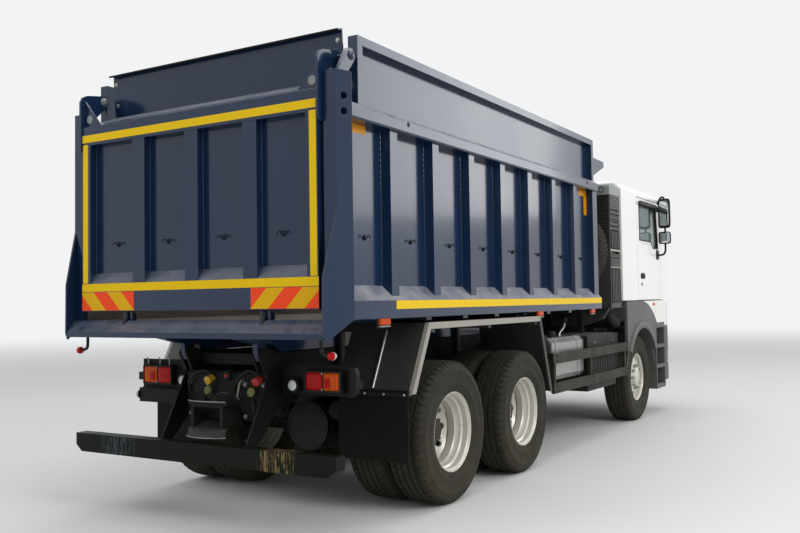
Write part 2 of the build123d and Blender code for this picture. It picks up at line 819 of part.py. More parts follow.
# Tipping body's floor: plate, long beams, cross bearers, pouring lip and the hinge lugs
floor_plate = block(
    body_rear_x - 53, body_front_x - front_wall, -panel_in_y, panel_in_y, floor_top_z - floor_wall,
    floor_top_z,
)
for side in (1, -1):
    floor_plate = floor_plate - block(
        body_rear_x - 54, post_front_x, *sorted((side * post_in_y, side * (panel_in_y + 1))),
        floor_top_z - floor_wall - 1, floor_top_z + 1,
    )
beam_low_z = subframe_top_z + part_gap
long_beams = []
hinge_lugs = []
for side in (1, -1):
    y0, y1 = sorted((side * beam_in_y, side * (beam_in_y + beam_width)))
    long_beams.append(block(-1010, body_front_x - 20, y0, y1, beam_low_z, bearer_low_z + 10))
    long_beams.append(
        slab(
            [(-1010, beam_low_z), (-1010, bearer_low_z + 10), (body_rear_x, bearer_low_z + 10),
             (body_rear_x, bearer_low_z - 40), (tip_hinge_x - 70, beam_low_z + 60),
             (tip_hinge_x + 90, beam_low_z + 60)],
            y0,
            y1,
            "Y",
        )
    )
    lug = slab(
        [
            (tip_hinge_x - 45, tip_hinge_z), (tip_hinge_x - 60, beam_low_z + 80),
            (tip_hinge_x + 60, beam_low_z + 80), (tip_hinge_x + 45, tip_hinge_z),
            (tip_hinge_x + 25, tip_hinge_z - 42), (tip_hinge_x - 25, tip_hinge_z - 42),
        ],
        *sorted((side * lug_in_y, side * lug_out_y)),
        "Y",
    )
    hinge_lugs.append(
        lug - pin_y(tip_hinge_x, tip_hinge_z, tip_pin_radius + running_gap, side * 300, side * 420)
    )
bearer_outline = [
    (-panel_in_y, bearer_tip_z), (-580, bearer_tip_z), (-430, bearer_low_z), (430, bearer_low_z),
    (580, bearer_tip_z), (panel_in_y, bearer_tip_z), (panel_in_y, floor_top_z - floor_wall),
    (-panel_in_y, floor_top_z - floor_wall),
]
bearer_width = 80.0
bearer_x = [rib_first_x + 10 + k * rib_pitch for k in range(rib_count)]
bearers = [slab(bearer_outline, x, x + bearer_width, "X") for x in [body_rear_x, *bearer_x]]
lip_root_x = body_rear_x - 53


def wing_in_y(x):
    """Inner face of the rear wings at a station: they lean in towards the truck's tail."""
    return body_out_y - (post_front_x - x) * post_slope - wing_wall * math.hypot(1, post_slope)


lip = slab(
    [
        (lip_root_x, floor_top_z), (lip_edge_x, lip_edge_z), (lip_edge_x, lip_edge_z - 40),
        (lip_edge_x + 14, lip_edge_z - 40), (lip_edge_x + 14, lip_edge_z - 10),
        (lip_root_x, floor_top_z - floor_wall),
    ],
    -body_out_y,
    body_out_y,
    "Y",
)
lip = lip & slab(
    [
        (lip_edge_x, -wing_in_y(lip_edge_x)), (lip_root_x, -wing_in_y(lip_root_x)),
        (lip_root_x, wing_in_y(lip_root_x)), (lip_edge_x, wing_in_y(lip_edge_x)),
    ],
    lip_edge_z - 50,
    floor_top_z + 10,
    "Z",
)
recess_rear_x = body_front_x - recess_depth
floor_cut = block(
    recess_rear_x, body_front_x + 1, -recess_half_width, recess_half_width, beam_low_z, floor_top_z + 1
)
hook_outline = [(-1478, 1400), (-1440, 1400), (-1440, 1425), (-1430, 1425), (-1430, 1470), (-1478, 1482)]
hooks = [slab(hook_outline, *sorted((side * 600, side * 690)), "Y") for side in (1, -1)]
save(
    "body_floor",
    fuse(floor_plate, *bearers, *long_beams, *hinge_lugs, lip, *hooks) - floor_cut,
)

# Body sides: panel, sill with its ledge, ribs, waist rail, upper board, rear post, wing and gate lug
wing_lean = math.atan(post_slope)
wing_reach = (rear_overhang + post_front_x) / math.cos(wing_lean)
wing_outline = [
    (post_front_x, sill_low_z), (post_front_x - wing_reach + 22, 1281), (post_front_x - wing_reach, 1329),
    (post_front_x - wing_reach + 5, 1690), (post_front_x - wing_reach + 124, 2120), (post_front_x, 2120),
]
lug_y0 = 1198.0
lug_y1 = 1226.0


def body_side(side):
    """One side of the tipping body."""
    def span(y0, y1):
        return sorted((side * y0, side * y1))

    panel = block(
        body_rear_x, body_front_x, *span(panel_in_y, panel_out_y), floor_top_z - floor_wall,
        waist_low_z + 20,
    )
    sill = slab(
        [
            (
                side * panel_out_y, sill_low_z,
            ), (side * body_out_y, sill_low_z), (side * body_out_y, sill_top_z),
            (side * panel_out_y, ledge_top_z),
        ],
        post_front_x,
        body_front_x,
        "X",
    )
    waist = slab(
        [
            (side * panel_in_y, waist_low_z), (side * (body_out_y - 8), waist_low_z),
            (side * body_out_y, waist_low_z + 12), (side * body_out_y, waist_top_z - 30),
            (side * (body_out_y - 30), waist_top_z), (side * panel_in_y, waist_top_z),
        ],
        post_front_x,
        body_front_x - 30,
        "X",
    )
    rib_outline = [
        (-rib_base / 2, side * panel_out_y), (-rib_face / 2, side * (panel_out_y + rib_depth)),
        (rib_face / 2, side * (panel_out_y + rib_depth)), (rib_base / 2, side * panel_out_y),
    ]
    rib = slab(rib_outline, sill_top_z, waist_low_z + 5, "Z")
    rib_middles = [rib_first_x + rib_face / 2 + k * rib_pitch for k in range(rib_count)]
    ribs = [Pos(x, 0, 0) * rib for x in rib_middles]
    front_post = block(
        body_front_x - 140, body_front_x, *span(panel_out_y, body_out_y - 30), sill_top_z - 30,
        waist_low_z + 5,
    )
    board = block(
        board_rear_x, board_front_x, *span(panel_in_y, panel_out_y + 6), waist_top_z - 5, board_top_z,
    )
    board_frame = fuse(
        block(
            board_rear_x, board_front_x, *span(panel_out_y, board_out_y), board_top_z - board_rail,
            board_top_z,
        ),
        block(
            board_rear_x, board_rear_x + 60, *span(panel_out_y, board_out_y), waist_top_z - 5, board_top_z,
        ),
        block(
            board_front_x - 60, board_front_x, *span(panel_out_y, board_out_y), waist_top_z - 5,
            board_top_z,
        ),
    )
    post_rear_out_y = body_out_y - (post_front_x - post_rear_x) * post_slope
    post = slab(
        [
            (post_rear_x, side * post_in_y), (post_rear_x, side * post_rear_out_y),
            (post_front_x, side * body_out_y), (post_front_x, side * post_in_y),
        ],
        sill_low_z,
        post_top_z,
        "Z",
    )
    flat_wing = slab(wing_outline, *span(body_out_y - wing_wall, body_out_y), "Y")
    fold = Pos(post_front_x, side * body_out_y, 0)
    unfold = Pos(-post_front_x, -side * body_out_y, 0)
    wing = fold * (Rot(0, 0, side * math.degrees(wing_lean)) * (unfold * flat_wing))
    gate_lug = slab(
        [
            (post_rear_x + 30, post_top_z - 10), (gate_hinge_x - 50, gate_hinge_z + 20),
            (gate_hinge_x - 30, gate_hinge_z + 42), (gate_hinge_x + 18, gate_hinge_z + 46),
            (gate_hinge_x + 48, gate_hinge_z), (gate_hinge_x + 30, gate_hinge_z - 40),
            (post_front_x, post_top_z - 10),
        ],
        *span(lug_y0, lug_y1),
        "Y",
    )
    bore_radius = gate_pin_radius + running_gap
    gate_bore = pin_y(gate_hinge_x, gate_hinge_z, bore_radius, side * (lug_y0 - 5), side * (lug_y1 + 5))
    whole = fuse(
        panel, sill, waist, *ribs, front_post, board, board_frame, post, wing, gate_lug,
    ) - gate_bore
    for z in post_hole_z:
        middle_x = (post_rear_x + post_front_x) / 2
        whole = whole - pin_y(
            middle_x, z, post_hole_radius, side * (body_out_y - 60), side * (body_out_y + 1),
        )
    return whole


save("body_side_right", body_side(-1))
save("body_side_left", body_side(1))

# Side lamps hung under the sills
side_lamp_rows = ((-1046.0, -910.0), (1670.0, 1800.0), (3140.0, 3397.0))
side_lamps = [
    block(x0, x1, *sorted((side * (body_out_y - 35), side * (body_out_y - 3))), sill_low_z - 34, sill_low_z)
    for x0, x1 in side_lamp_rows
    for side in (1, -1)
]
save("side_lamps", *side_lamps)

# Front wall with the recess for the hoist, the visor over the cab gap and the hoist's upper bracket
wall_top_z = 3120.0
visor_tip_x = body_front_x + 513
visor_tip_z = 3110.0
wall_rear_x = body_front_x - front_wall
wall_half_width = panel_in_y
bracket_in_y = 62.0
bracket_wall = 20.0
eye_pin_radius = 28.0
wall_pieces = []
for side in (1, -1):
    wall_pieces.append(
        block(
            wall_rear_x,
            body_front_x,
            *sorted((side * (recess_half_width - front_wall), side * wall_half_width)),
            floor_top_z,
            wall_top_z,
        )
    )
    wall_pieces.append(
        block(
            recess_rear_x,
            wall_rear_x + 1,
            *sorted((side * (recess_half_width - front_wall), side * recess_half_width)),
            floor_top_z,
            wall_top_z,
        )
    )
    wall_pieces.append(
        slab(
            [
                (body_front_x, 2860), (visor_tip_x, visor_tip_z - 60), (visor_tip_x, visor_tip_z - 14),
                (body_front_x, wall_top_z - 14),
            ],
            *sorted((side * (wall_half_width + 1), side * (wall_half_width - 11))),
            "Y",
        )
    )
wall_pieces.append(
    block(
        recess_rear_x, recess_rear_x + front_wall, -recess_half_width, recess_half_width, floor_top_z,
        wall_top_z,
    )
)
wall_pieces.append(
    slab(
        [
            (
                recess_rear_x, wall_top_z - 14,
            ), (body_front_x, wall_top_z - 14), (visor_tip_x, visor_tip_z - 14),
            (visor_tip_x, visor_tip_z), (body_front_x, wall_top_z), (recess_rear_x, wall_top_z),
        ],
        -wall_half_width,
        wall_half_width,
        "Y",
    )
)
for z in (1640.0, 2250.0):
    for side in (1, -1):
        wall_pieces.append(
            block(
                body_front_x - 1, body_front_x + 28, *sorted((side * recess_half_width, side * 1120)), z,
                z + 120,
            )
        )
wall_pieces.append(
    block(body_front_x - front_wall, body_front_x + 18, -recess_half_width, recess_half_width, 2250, 2430)
)
for side in (1, -1):
    ear = slab(
        [
            (body_front_x, 2250), (
                hoist_eye_x - 20, hoist_eye_z - 45,
            ), (hoist_eye_x + 30, hoist_eye_z - 45),
            (hoist_eye_x + 50, hoist_eye_z), (hoist_eye_x + 30, hoist_eye_z + 45), (body_front_x, 2430),
        ],
        *sorted((side * bracket_in_y, side * (bracket_in_y + bracket_wall))),
        "Y",
    )
    wall_pieces.append(
        ear - pin_y(hoist_eye_x, hoist_eye_z, eye_pin_radius, side * 50, side * 100)
    )
save("body_front", fuse(*wall_pieces))

# Tailgate: frame, ribs, sloped ledges, panel, spill plate and the hinge arms
gate_rib_rows = (
    # middle of each rib, its width
    (504.0, 122.0),
    (-16.0, 122.0),
    (-543.0, 122.0),
)
gate_side_width = 90.0
gate_beam = 80.0
gate_foot_beam = 205.0
gate_panel_x = gate_in_x - gate_panel_wall
gate_panel = block(
    gate_panel_x, gate_in_x, -gate_half_width - 10, gate_half_width + 10, gate_low_z, gate_top_z
)
gate_pieces = [
    gate_panel,
    block(
        gate_out_x, gate_panel_x + 1, -gate_half_width, gate_half_width, gate_low_z,
        gate_low_z + gate_foot_beam,
    ),
    block(
        gate_out_x, gate_panel_x + 1, -gate_half_width, gate_half_width, gate_top_z - gate_beam - 60,
        gate_top_z,
    ),
]
for side in (1, -1):
    y0, y1 = sorted((side * gate_half_width, side * (gate_half_width - gate_side_width)))
    gate_pieces.append(block(gate_out_x, gate_panel_x + 1, y0, y1, gate_low_z, gate_top_z))
for middle, width in gate_rib_rows:
    gate_pieces.append(
        block(
            gate_out_x + 4, gate_panel_x + 1, middle - width / 2, middle + width / 2, gate_low_z,
            gate_top_z,
        )
    )
bay_edges = [gate_half_width - gate_side_width]
for middle, width in gate_rib_rows:
    bay_edges += [middle + width / 2, middle - width / 2]
bay_edges.append(-gate_half_width + gate_side_width)
foot_top = gate_low_z + gate_foot_beam
for k in range(0, len(bay_edges), 2):
    gate_pieces.append(
        slab(
            [
                (gate_out_x + 2, foot_top - 1), (gate_panel_x + 1, foot_top + 80),
                (gate_panel_x + 1, foot_top - 1),
            ],
            bay_edges[k + 1] - 1,
            bay_edges[k] + 1,
            "Y",
        )
    )
spill_half_width = 1098.0
gate_pieces.append(
    slab(
        [
            (gate_out_x, gate_top_z - 20), (gate_out_x, gate_top_z), (spill_x, spill_foot_z),
            (
                spill_x - 22, spill_top_z - 10,
            ), (spill_x - 62, spill_top_z - 22), (spill_x - 64, spill_top_z - 12),
            (spill_x - 20, spill_top_z), (spill_x - 12, spill_top_z), (spill_x + 10, spill_foot_z - 4),
            (gate_in_x + 6, gate_top_z - 20),
        ],
        -spill_half_width,
        spill_half_width,
        "Y",
    )
)
arm_offsets = [
    (-222, -415), (-222, -40), (-202, -2), (-162, 18), (10, 46), (38, 32),
    (48, 0), (32, -34), (-100, -160), (-138, -220), (-138, -452), (-190, -452),
]
arm_outline = [(gate_hinge_x + dx, gate_hinge_z + dz) for dx, dz in arm_offsets]
arm_y0 = 1104.0
for side in (1, -1):
    y0, y1 = sorted((side * arm_y0, side * (arm_y0 + gate_arm_wall)))
    gate_pieces.append(slab(arm_outline, y0, y1, "Y"))
    gate_pieces.append(
        pin_y(gate_hinge_x, gate_hinge_z, gate_pin_radius, side * (arm_y0 + 5), side * (lug_y1 + 8))
    )
    gate_pieces.append(
        slab(
            [
                (side * (arm_y0 + 1), gate_top_z + 10), (side * (arm_y0 - 175), gate_top_z + 10),
                (side * (arm_y0 + 1), gate_top_z + 210),
            ],
            -1484,
            -1472,
            "X",
        )
    )
save("tailgate", fuse(*gate_pieces))

# Hoist: nested tubes, each with a guide collar at its mouth, and the rod with its eye
hoist_dx = hoist_eye_x - hoist_base_x
hoist_dz = hoist_eye_z - hoist_base_z
hoist_closed = math.hypot(hoist_dx, hoist_dz)
hoist_lean = math.degrees(math.atan2(-hoist_dx, hoist_dz))
eye_turn = math.radians(tip_angle)
arm_x, arm_z = hoist_eye_x - tip_hinge_x, hoist_eye_z - tip_hinge_z
raised_x = tip_hinge_x + arm_x * math.cos(eye_turn) - arm_z * math.sin(eye_turn)
raised_z = tip_hinge_z + arm_x * math.sin(eye_turn) + arm_z * math.cos(eye_turn)
hoist_open = math.hypot(raised_x - hoist_base_x, raised_z - hoist_base_z)
stage_stroke = (hoist_open - hoist_closed) / hoist_stages
hoist_swing = math.degrees(math.atan2(hoist_base_x - raised_x, raised_z - hoist_base_z)) - hoist_lean


def along_hoist(solid):
    """Places a piece made upright at the origin on the hoist's axis."""
    return Pos(hoist_base_x, 0, hoist_base_z) * (Rot(0, -hoist_lean, 0) * solid)


def upright(radius, low, high):
    return rod((0, 0, low), (0, 0, high), radius)


collar_height = 45.0
mouth = hoist_closed - 120
for stage in range(hoist_stages + 1):
    radius = hoist_radii[stage]
    foot = 8.0 * stage - 20
    top = mouth + hoist_step * stage
    if stage < hoist_stages:
        inner = radius - hoist_wall
        slide = hoist_radii[stage + 1] + running_gap
        piece = upright(radius, foot - 6, top) - upright(inner, foot, top - collar_height)
        piece = piece - upright(slide, foot, top + 1)
    else:
        piece = upright(radius, foot - 6, hoist_closed - 30)
        eye = rod((0, -bracket_in_y + 6, 0), (0, bracket_in_y - 6, 0), 46)
        piece = fuse(piece, Pos(0, 0, hoist_closed) * eye)
    if stage == 0:
        trunnions = rod((0, -hoist_trunnion_y, 0), (0, hoist_trunnion_y, 0), hoist_trunnion_radius)
        cap = upright(radius, -55, foot)
        outside = upright(radius + 12, top - 60, top) - upright(radius - 1, top - 61, top + 1)
        piece = fuse(piece, trunnions - upright(inner, foot, top), cap, outside)
    else:
        guide = upright(hoist_radii[stage - 1] - hoist_wall - running_gap, foot - 6, foot + 24)
        bore = upright(radius - hoist_wall, foot, foot + 25) if stage < hoist_stages else None
        piece = fuse(piece, guide - bore if bore else guide)
    save("hoist_barrel" if stage == 0 else f"hoist_stage_{stage}", along_hoist(piece))

# Cab. Its outer form is where a side outline, a cross section and a plan meet.
corner_radius = 170.0


def cab_form(inset):
    """The cab's volume, drawn in by a wall's thickness from its outside."""
    low = cab_floor_z + inset
    side_outline = [
        (cab_rear_x + inset, low), (front_end_x - 160, low), (front_end_x - inset, low),
        (front_end_x - inset, 1780), (screen_foot_x - inset, screen_foot_z),
        (
            screen_head_x - inset, screen_head_z - inset * 0.4,
        ), (screen_head_x - 120 - inset, cab_roof_z - inset),
        (cab_rear_x + 120 + inset, cab_roof_z - inset), (cab_rear_x + inset, cab_roof_z - 60 - inset),
    ]
    wide = cab_out_y - inset
    section = [
        (-wide, low - 1), (wide, low - 1), (wide, cab_eave_z - inset * 0.5),
        (wide - 90, cab_roof_z - 50 - inset), (
            cab_crown_y - 60, cab_roof_z - 10 - inset * 0.95,
        ), (0, cab_roof_z + 5 - inset * 0.95),
        (
            -cab_crown_y + 60, cab_roof_z - 10 - inset * 0.95,
        ), (-wide + 90, cab_roof_z - 50 - inset), (-wide, cab_eave_z - inset * 0.5),
    ]
    reach = front_end_x - inset
    plan = [
        (cab_rear_x, -wide), (reach - corner_radius, -wide), (reach - corner_radius * 0.35, -wide + 62),
        (reach, -wide + 200), (reach, wide - 200), (reach - corner_radius * 0.35, wide - 62),
        (reach - corner_radius, wide), (cab_rear_x, wide),
    ]
    form = slab(side_outline, -wide, wide, "Y")
    form = form & slab(section, cab_rear_x, front_end_x + 1, "X")
    return form & slab(plan, cab_floor_z - 1, cab_roof_z + 50, "Z")


cab_outer = cab_form(0)
cab_shell = cab_outer - cab_form(cab_wall)


def hinge_pin(side, z, radius, spare):
    """A door hinge's pin, or its bore with a spare length at each end."""
    low, high = z - hinge_tail - spare, z + hinge_knuckle + hinge_tail + spare
    return rod((door_hinge_x, side * door_hinge_y, low), (door_hinge_x, side * door_hinge_y, high), radius)


door_hinges = []
for side in (1, -1):
    for z in door_hinge_z:
        knuckle_y = sorted(
            (side * (door_hinge_y - hinge_half_width), side * (door_hinge_y + hinge_half_width))
        )
        door_hinges.append(block(door_hinge_x, door_front_x + 2, *knuckle_y, z, z + hinge_knuckle))
        door_hinges.append(hinge_pin(side, z, hinge_pin_radius, 0))
door_openings = [
    block(
        door_rear_x, door_front_x, *sorted((side * (cab_out_y - cab_wall - 10), side * (cab_out_y + 10))),
        cab_floor_z - 1, door_top_z,
    )
    for side in (1, -1)
]
screen_half_width = 1060.0
screen_opening = block(
    screen_head_x - 250, front_end_x + 5, -screen_half_width, screen_half_width, screen_foot_z + 40,
    screen_head_z - 60,
)
rear_window = block(cab_rear_x - 5, cab_rear_x + cab_wall + 5, -450, 450, 2150, 2620)
cab_body = cab_shell - door_openings[0] - door_openings[1] - screen_opening - rear_window
nose = block(
    front_end_x - 60, front_end_x, -grille_half_width, grille_half_width, grille_low_z, cab_floor_z + 10,
)
nose = nose - block(
    front_end_x - 20, front_end_x + 1, -grille_half_width + 120, grille_half_width - 120,
    grille_low_z + 60, cab_floor_z - 30,
)
tilt_arms = []
for side in (1, -1):
    y0, y1 = sorted((side * (rail_tip_y + 21), side * (rail_out_y - 21)))
    arm = fuse(
        block(cab_tilt_x - tilt_boss_radius, front_end_x - 58, y0, y1, cab_tilt_z, 1300),
        pin_y(cab_tilt_x, cab_tilt_z, tilt_boss_radius, y0, y1),
        block(6000, cab_tilt_x + 20, y0, y1, 1300, cab_floor_z + 10),
    )
    arm = arm - block(cab_tilt_x + tilt_boss_radius, front_end_x, y0 - 1, y1 + 1, 0, grille_low_z + 1)
    tilt_arms.append(arm - pin_y(cab_tilt_x, cab_tilt_z, tilt_pin_radius + running_gap, y0 - 1, y1 + 1))
save("cab_shell", fuse(cab_body, nose, *tilt_arms, *door_hinges))

# Grille slats in the nose's recess
grille_slats = [
    block(front_end_x - 20, front_end_x - 4, -grille_half_width + 120, grille_half_width - 120, z, z + 50)
    for z in [grille_low_z + 75 + k * 95 for k in range(4)]
]
grille_posts = [
    block(front_end_x - 20, front_end_x - 10, y, y + 30, grille_low_z + 60, cab_floor_z - 30)
    for y in (-700.0, -15.0, 670.0)
]
save("grille", fuse(*grille_slats, *grille_posts))

# Glass set into its openings
screen_lean = math.atan2(screen_foot_x - screen_head_x, screen_head_z - screen_foot_z)


def screen_x(z):
    """Outer face of the screen at a height."""
    return screen_foot_x - (z - screen_foot_z) * math.tan(screen_lean)


screen_low, screen_high = screen_foot_z + 40, screen_head_z - 60
screen = slab(
    [
        (screen_x(screen_low) - 6, screen_low), (screen_x(screen_high) - 6, screen_high),
        (screen_x(screen_high) - 14, screen_high), (screen_x(screen_low) - 14, screen_low),
    ],
    -screen_half_width,
    screen_half_width,
    "Y",
)
back_pane = block(cab_rear_x + 20, cab_rear_x + 28, -450, 450, 2150, 2620)
save("cab_glass", screen, back_pane)

# Seats, dashboard and steering wheel
cab_deck_z = cab_floor_z + cab_wall
seats = []
for y in (620.0, -620.0):
    seats.append(
        fuse(
            block(4760, 5000, y - 130, y + 130, cab_deck_z, 1780),
            block(4640, 5160, y - 260, y + 260, 1780, 1920),
            slab([(4620, 1850), (4760, 1850), (4600, 2620), (4500, 2600)], y - 250, y + 250, "Y"),
        )
    )
dash = slab(
    [
        (6200, cab_deck_z), (6420, cab_deck_z), (6420, 1880), (6100, 1960), (5960, 1900), (5960, 1780),
        (6160, 1700),
    ],
    -1100,
    1100,
    "Y",
)
wheel_centre = (5740.0, 620.0, 2010.0)
wheel_plane = Plane(origin=wheel_centre, z_dir=(-0.6, 0, 0.8))
steering_ring = Solid.make_torus(215, 16, wheel_plane)
column_end = (6010.0, 620.0, 1850.0)
steering_column = rod(wheel_centre, column_end, 28)
spokes = Pos(*wheel_centre) * (Rot(0, -36.87, 0) * block(-12, 12, -205, 205, -10, 10))
save("cab_interior", *seats, fuse(dash, steering_column, steering_ring, spokes))

# Doors, cut from the same form, with their panes and mirrors


def door(side):
    zone = block(
        door_rear_x + door_gap,
        door_front_x - door_gap,
        *sorted((side * (cab_out_y - cab_wall), side * (cab_out_y + 10))),
        door_low_z,
        door_top_z - door_gap,
    )
    leaf = (cab_outer & zone) - window_zone(side, cab_wall + 5)
    for z in door_hinge_z:
        leaf = leaf - block(
            door_hinge_x - hinge_half_width - part_gap,
            door_front_x,
            *sorted((side * (door_hinge_y - hinge_half_width - part_gap), side * (cab_out_y + 1))),
            z - part_gap,
            z + hinge_knuckle + part_gap,
        )
        leaf = leaf - hinge_pin(side, z, hinge_pin_radius + running_gap, 1)
    return leaf


def window_zone(side, depth):
    outline = [
        (door_rear_x + 90, window_low_z + 20), (door_rear_x + 90, door_top_z - 70),
        (door_front_x - 150, door_top_z - 70), (door_front_x - 75, window_low_z + 80),
        (door_front_x - 75, window_low_z - 60), (door_front_x - 330, window_low_z - 60),
        (door_front_x - 420, window_low_z + 20),
    ]
    return slab(outline, *sorted((side * (cab_out_y - depth), side * (cab_out_y + 5))), "Y")


def door_glass(side):
    zone = block(
        door_rear_x, door_front_x, *sorted(
            (side * (cab_out_y - 30), side * (cab_out_y - 22))
        ), cab_floor_z, door_top_z
    )
    return window_zone(side, cab_wall) & zone


def mirror_unit(side):
    def span(y0, y1):
        return sorted((side * y0, side * y1))

    big = block(mirror_x - 30, mirror_x + 40, *span(mirror_in_y, mirror_out_y), 2450, 2845)
    wide = block(mirror_x - 30, mirror_x + 35, *span(mirror_in_y, mirror_out_y), 2240, 2405)
    stem_y = side * (mirror_in_y + 60)
    stem = rod((mirror_x + 30, stem_y, 2130), (mirror_x + 30, stem_y, 2780), 14)
    top_arm = rod((mirror_x + 30, stem_y, 2740), (mirror_x + 60, side * cab_out_y, 2740), 12)
    low_arm = rod((mirror_x + 30, stem_y, 2145), (mirror_x + 10, side * cab_out_y, 2100), 14)
    pad = block(mirror_x - 60, mirror_x + 70, *span(cab_out_y, cab_out_y + 14), 2040, 2160)
    return fuse(big, wide, stem, top_arm, low_arm, pad) - block(
        mirror_x - 200, mirror_x + 200, *span(cab_out_y - 60, cab_out_y), 2000, 2900
    )


for side_name, side in (("left", 1), ("right", -1)):
    save(f"door_{side_name}", door(side))
    save(f"door_glass_{side_name}", door_glass(side))
    save(f"mirror_{side_name}", mirror_unit(side))

# Front mudguards with their skirts below the cab, the steps, the bumper and the headlamps
arch_radius = 615.0
arch_wall = 22.0
arch_in_y = 860.0
skirt_rear_x = 4470.0
step_rear_x = 5722.0
step_front_x = 6150.0


def front_mudguard(side):
    def span(y0, y1):
        return sorted((side * y0, side * y1))

    z = tyre_radius
    y0, y1 = span(arch_in_y, cab_out_y - 20)
    ring = pin_y(front_axle_x, z, arch_radius + arch_wall, y0, y1) - pin_y(
        front_axle_x, z, arch_radius, y0 - 1, y1 + 1
    )
    ring = ring & block(4300, step_rear_x - 8, y0, y1, z + 60, 1400)
    skirt = block(
        skirt_rear_x, step_rear_x - 8, *span(cab_out_y - 35, cab_out_y), z + 330, cab_floor_z - 10,
    )
    skirt = skirt - pin_y(front_axle_x, z, arch_radius, side * (cab_out_y - 60), side * (cab_out_y + 5))
    arms = []
    for x in (front_axle_x - 200, front_axle_x + 150):
        arms.append(block(x, x + 50, *span(rail_out_y, cab_out_y - 35), 1180, 1230))
        arms.append(block(x, x + 50, *span(rail_out_y, rail_out_y + 40), 960, 1230))
    return fuse(ring, skirt, *arms)


save("front_mudguards", front_mudguard(1), front_mudguard(-1))


def step_well(side):
    def span(y0, y1):
        return sorted((side * y0, side * y1))

    shell = block(step_rear_x, step_front_x, *span(930, cab_out_y), 330, 1185)
    treads = [
        block(step_rear_x + 25, step_front_x - 25, *span(1010, cab_out_y + 1), z, z + 225)
        for z in (375.0, 640.0, 905.0)
    ]
    for tread in treads:
        shell = shell - tread
    corner_panel = block(
        step_rear_x, step_front_x, *span(cab_out_y - 30, cab_out_y), 1184, cab_floor_z - part_gap
    )
    arm = block(step_rear_x + 250, step_rear_x + 330, *span(rail_out_y, 931), 860, 940)
    return fuse(shell, corner_panel, arm)


save("steps", step_well(1), step_well(-1))

bumper_wall = 60.0
bumper_low_z = 420.0
bumper_top_z = 860.0
bumper_corner_z = 1150.0
bumper_rear_x = 6156.0


def bumper_plan(inset):
    reach, wide = front_end_x - inset, cab_out_y - inset
    return [
        (
            bumper_rear_x - (1 if inset else 0), -wide,
        ), (reach - 230, -wide), (reach - 80, -wide + 70), (reach, -wide + 260),
        (reach, wide - 260), (reach - 80, wide - 70), (reach - 230, wide),
        (bumper_rear_x - (1 if inset else 0), wide),
    ]


bumper = slab(bumper_plan(0), bumper_low_z, bumper_corner_z, "Z") - slab(
    bumper_plan(bumper_wall), bumper_low_z - 1, bumper_corner_z + 1, "Z"
)
bumper = bumper - block(
    front_end_x - 150, front_end_x + 1, -grille_half_width - 12, grille_half_width + 12, bumper_top_z,
    bumper_corner_z + 1,
)
lamp_zone = [
    block(front_end_x - 260, front_end_x + 1, *sorted((side * 760, side * (cab_out_y + 1))), 640, 800)
    for side in (1, -1)
]
headlamps = [slab(bumper_plan(0), bumper_low_z, bumper_corner_z, "Z") & zone for zone in lamp_zone]
headlamps = [lamp - slab(bumper_plan(40), bumper_low_z - 1, bumper_corner_z + 1, "Z") for lamp in headlamps]
for lamp in headlamps:
    bumper = bumper - lamp
bumper_arms = [
    block(rail_front_x + 50, front_end_x - bumper_wall + 1, *sorted((side * 250, side * 300)), 700, 800)
    for side in (1, -1)
]
bumper_feet = [
    block(rail_front_x - 120, rail_front_x + 60, *sorted((side * 250, side * 300)), 700, rail_low_z)
    for side in (1, -1)
]
bumper_ties = [
    block(
        rail_front_x - 120, rail_front_x, *sorted((side * 250, side * rail_out_y)), rail_low_z - 30,
        rail_low_z,
    )
    for side in (1, -1)
]
save("bumper", fuse(bumper, *bumper_arms, *bumper_feet, *bumper_ties))
save("headlamps", *headlamps)

# Rear support of the cab, standing on the rails
support_posts = [
    block(
        4350, 4420, *sorted((side * (rail_out_y - 70), side * rail_out_y)), rail_top_z,
        cab_floor_z - part_gap,
    )
    for side in (1, -1)
]
support_beam = block(4350, 4420, -rail_out_y, rail_out_y, cab_floor_z - 100, cab_floor_z - 40)
save("cab_support", fuse(*support_posts, support_beam))

os.makedirs("parts", exist_ok=True)
for name, shape in nodes.items():
    export_step(shape, f"parts/{name}.step")
print(len(nodes), "nodes")
print(f"shift {shift_x:.1f} overall {overall_length:.1f}")
print(f"hoist closed {hoist_closed:.2f} open {hoist_open:.2f} stroke {stage_stroke:.2f}")
print(f"hoist lean {hoist_lean:.3f} swing {hoist_swing:.3f}")
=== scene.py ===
# %% [markdown]
# # A dump truck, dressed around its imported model
#
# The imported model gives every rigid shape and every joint. This script keeps those shapes, gives each
# one the material of the real thing, and adds what a step closer shows: tread, wheel discs, lamps,
# tape, bolts, mirrors, pipes and seats. Positions along the truck are in millimetres from the rearmost
# axle, X forward, Y left, Z up, because that is how a truck's drawing is dimensioned.

import bmesh
import bpy
import numpy as np
from mathutils import Matrix, Vector


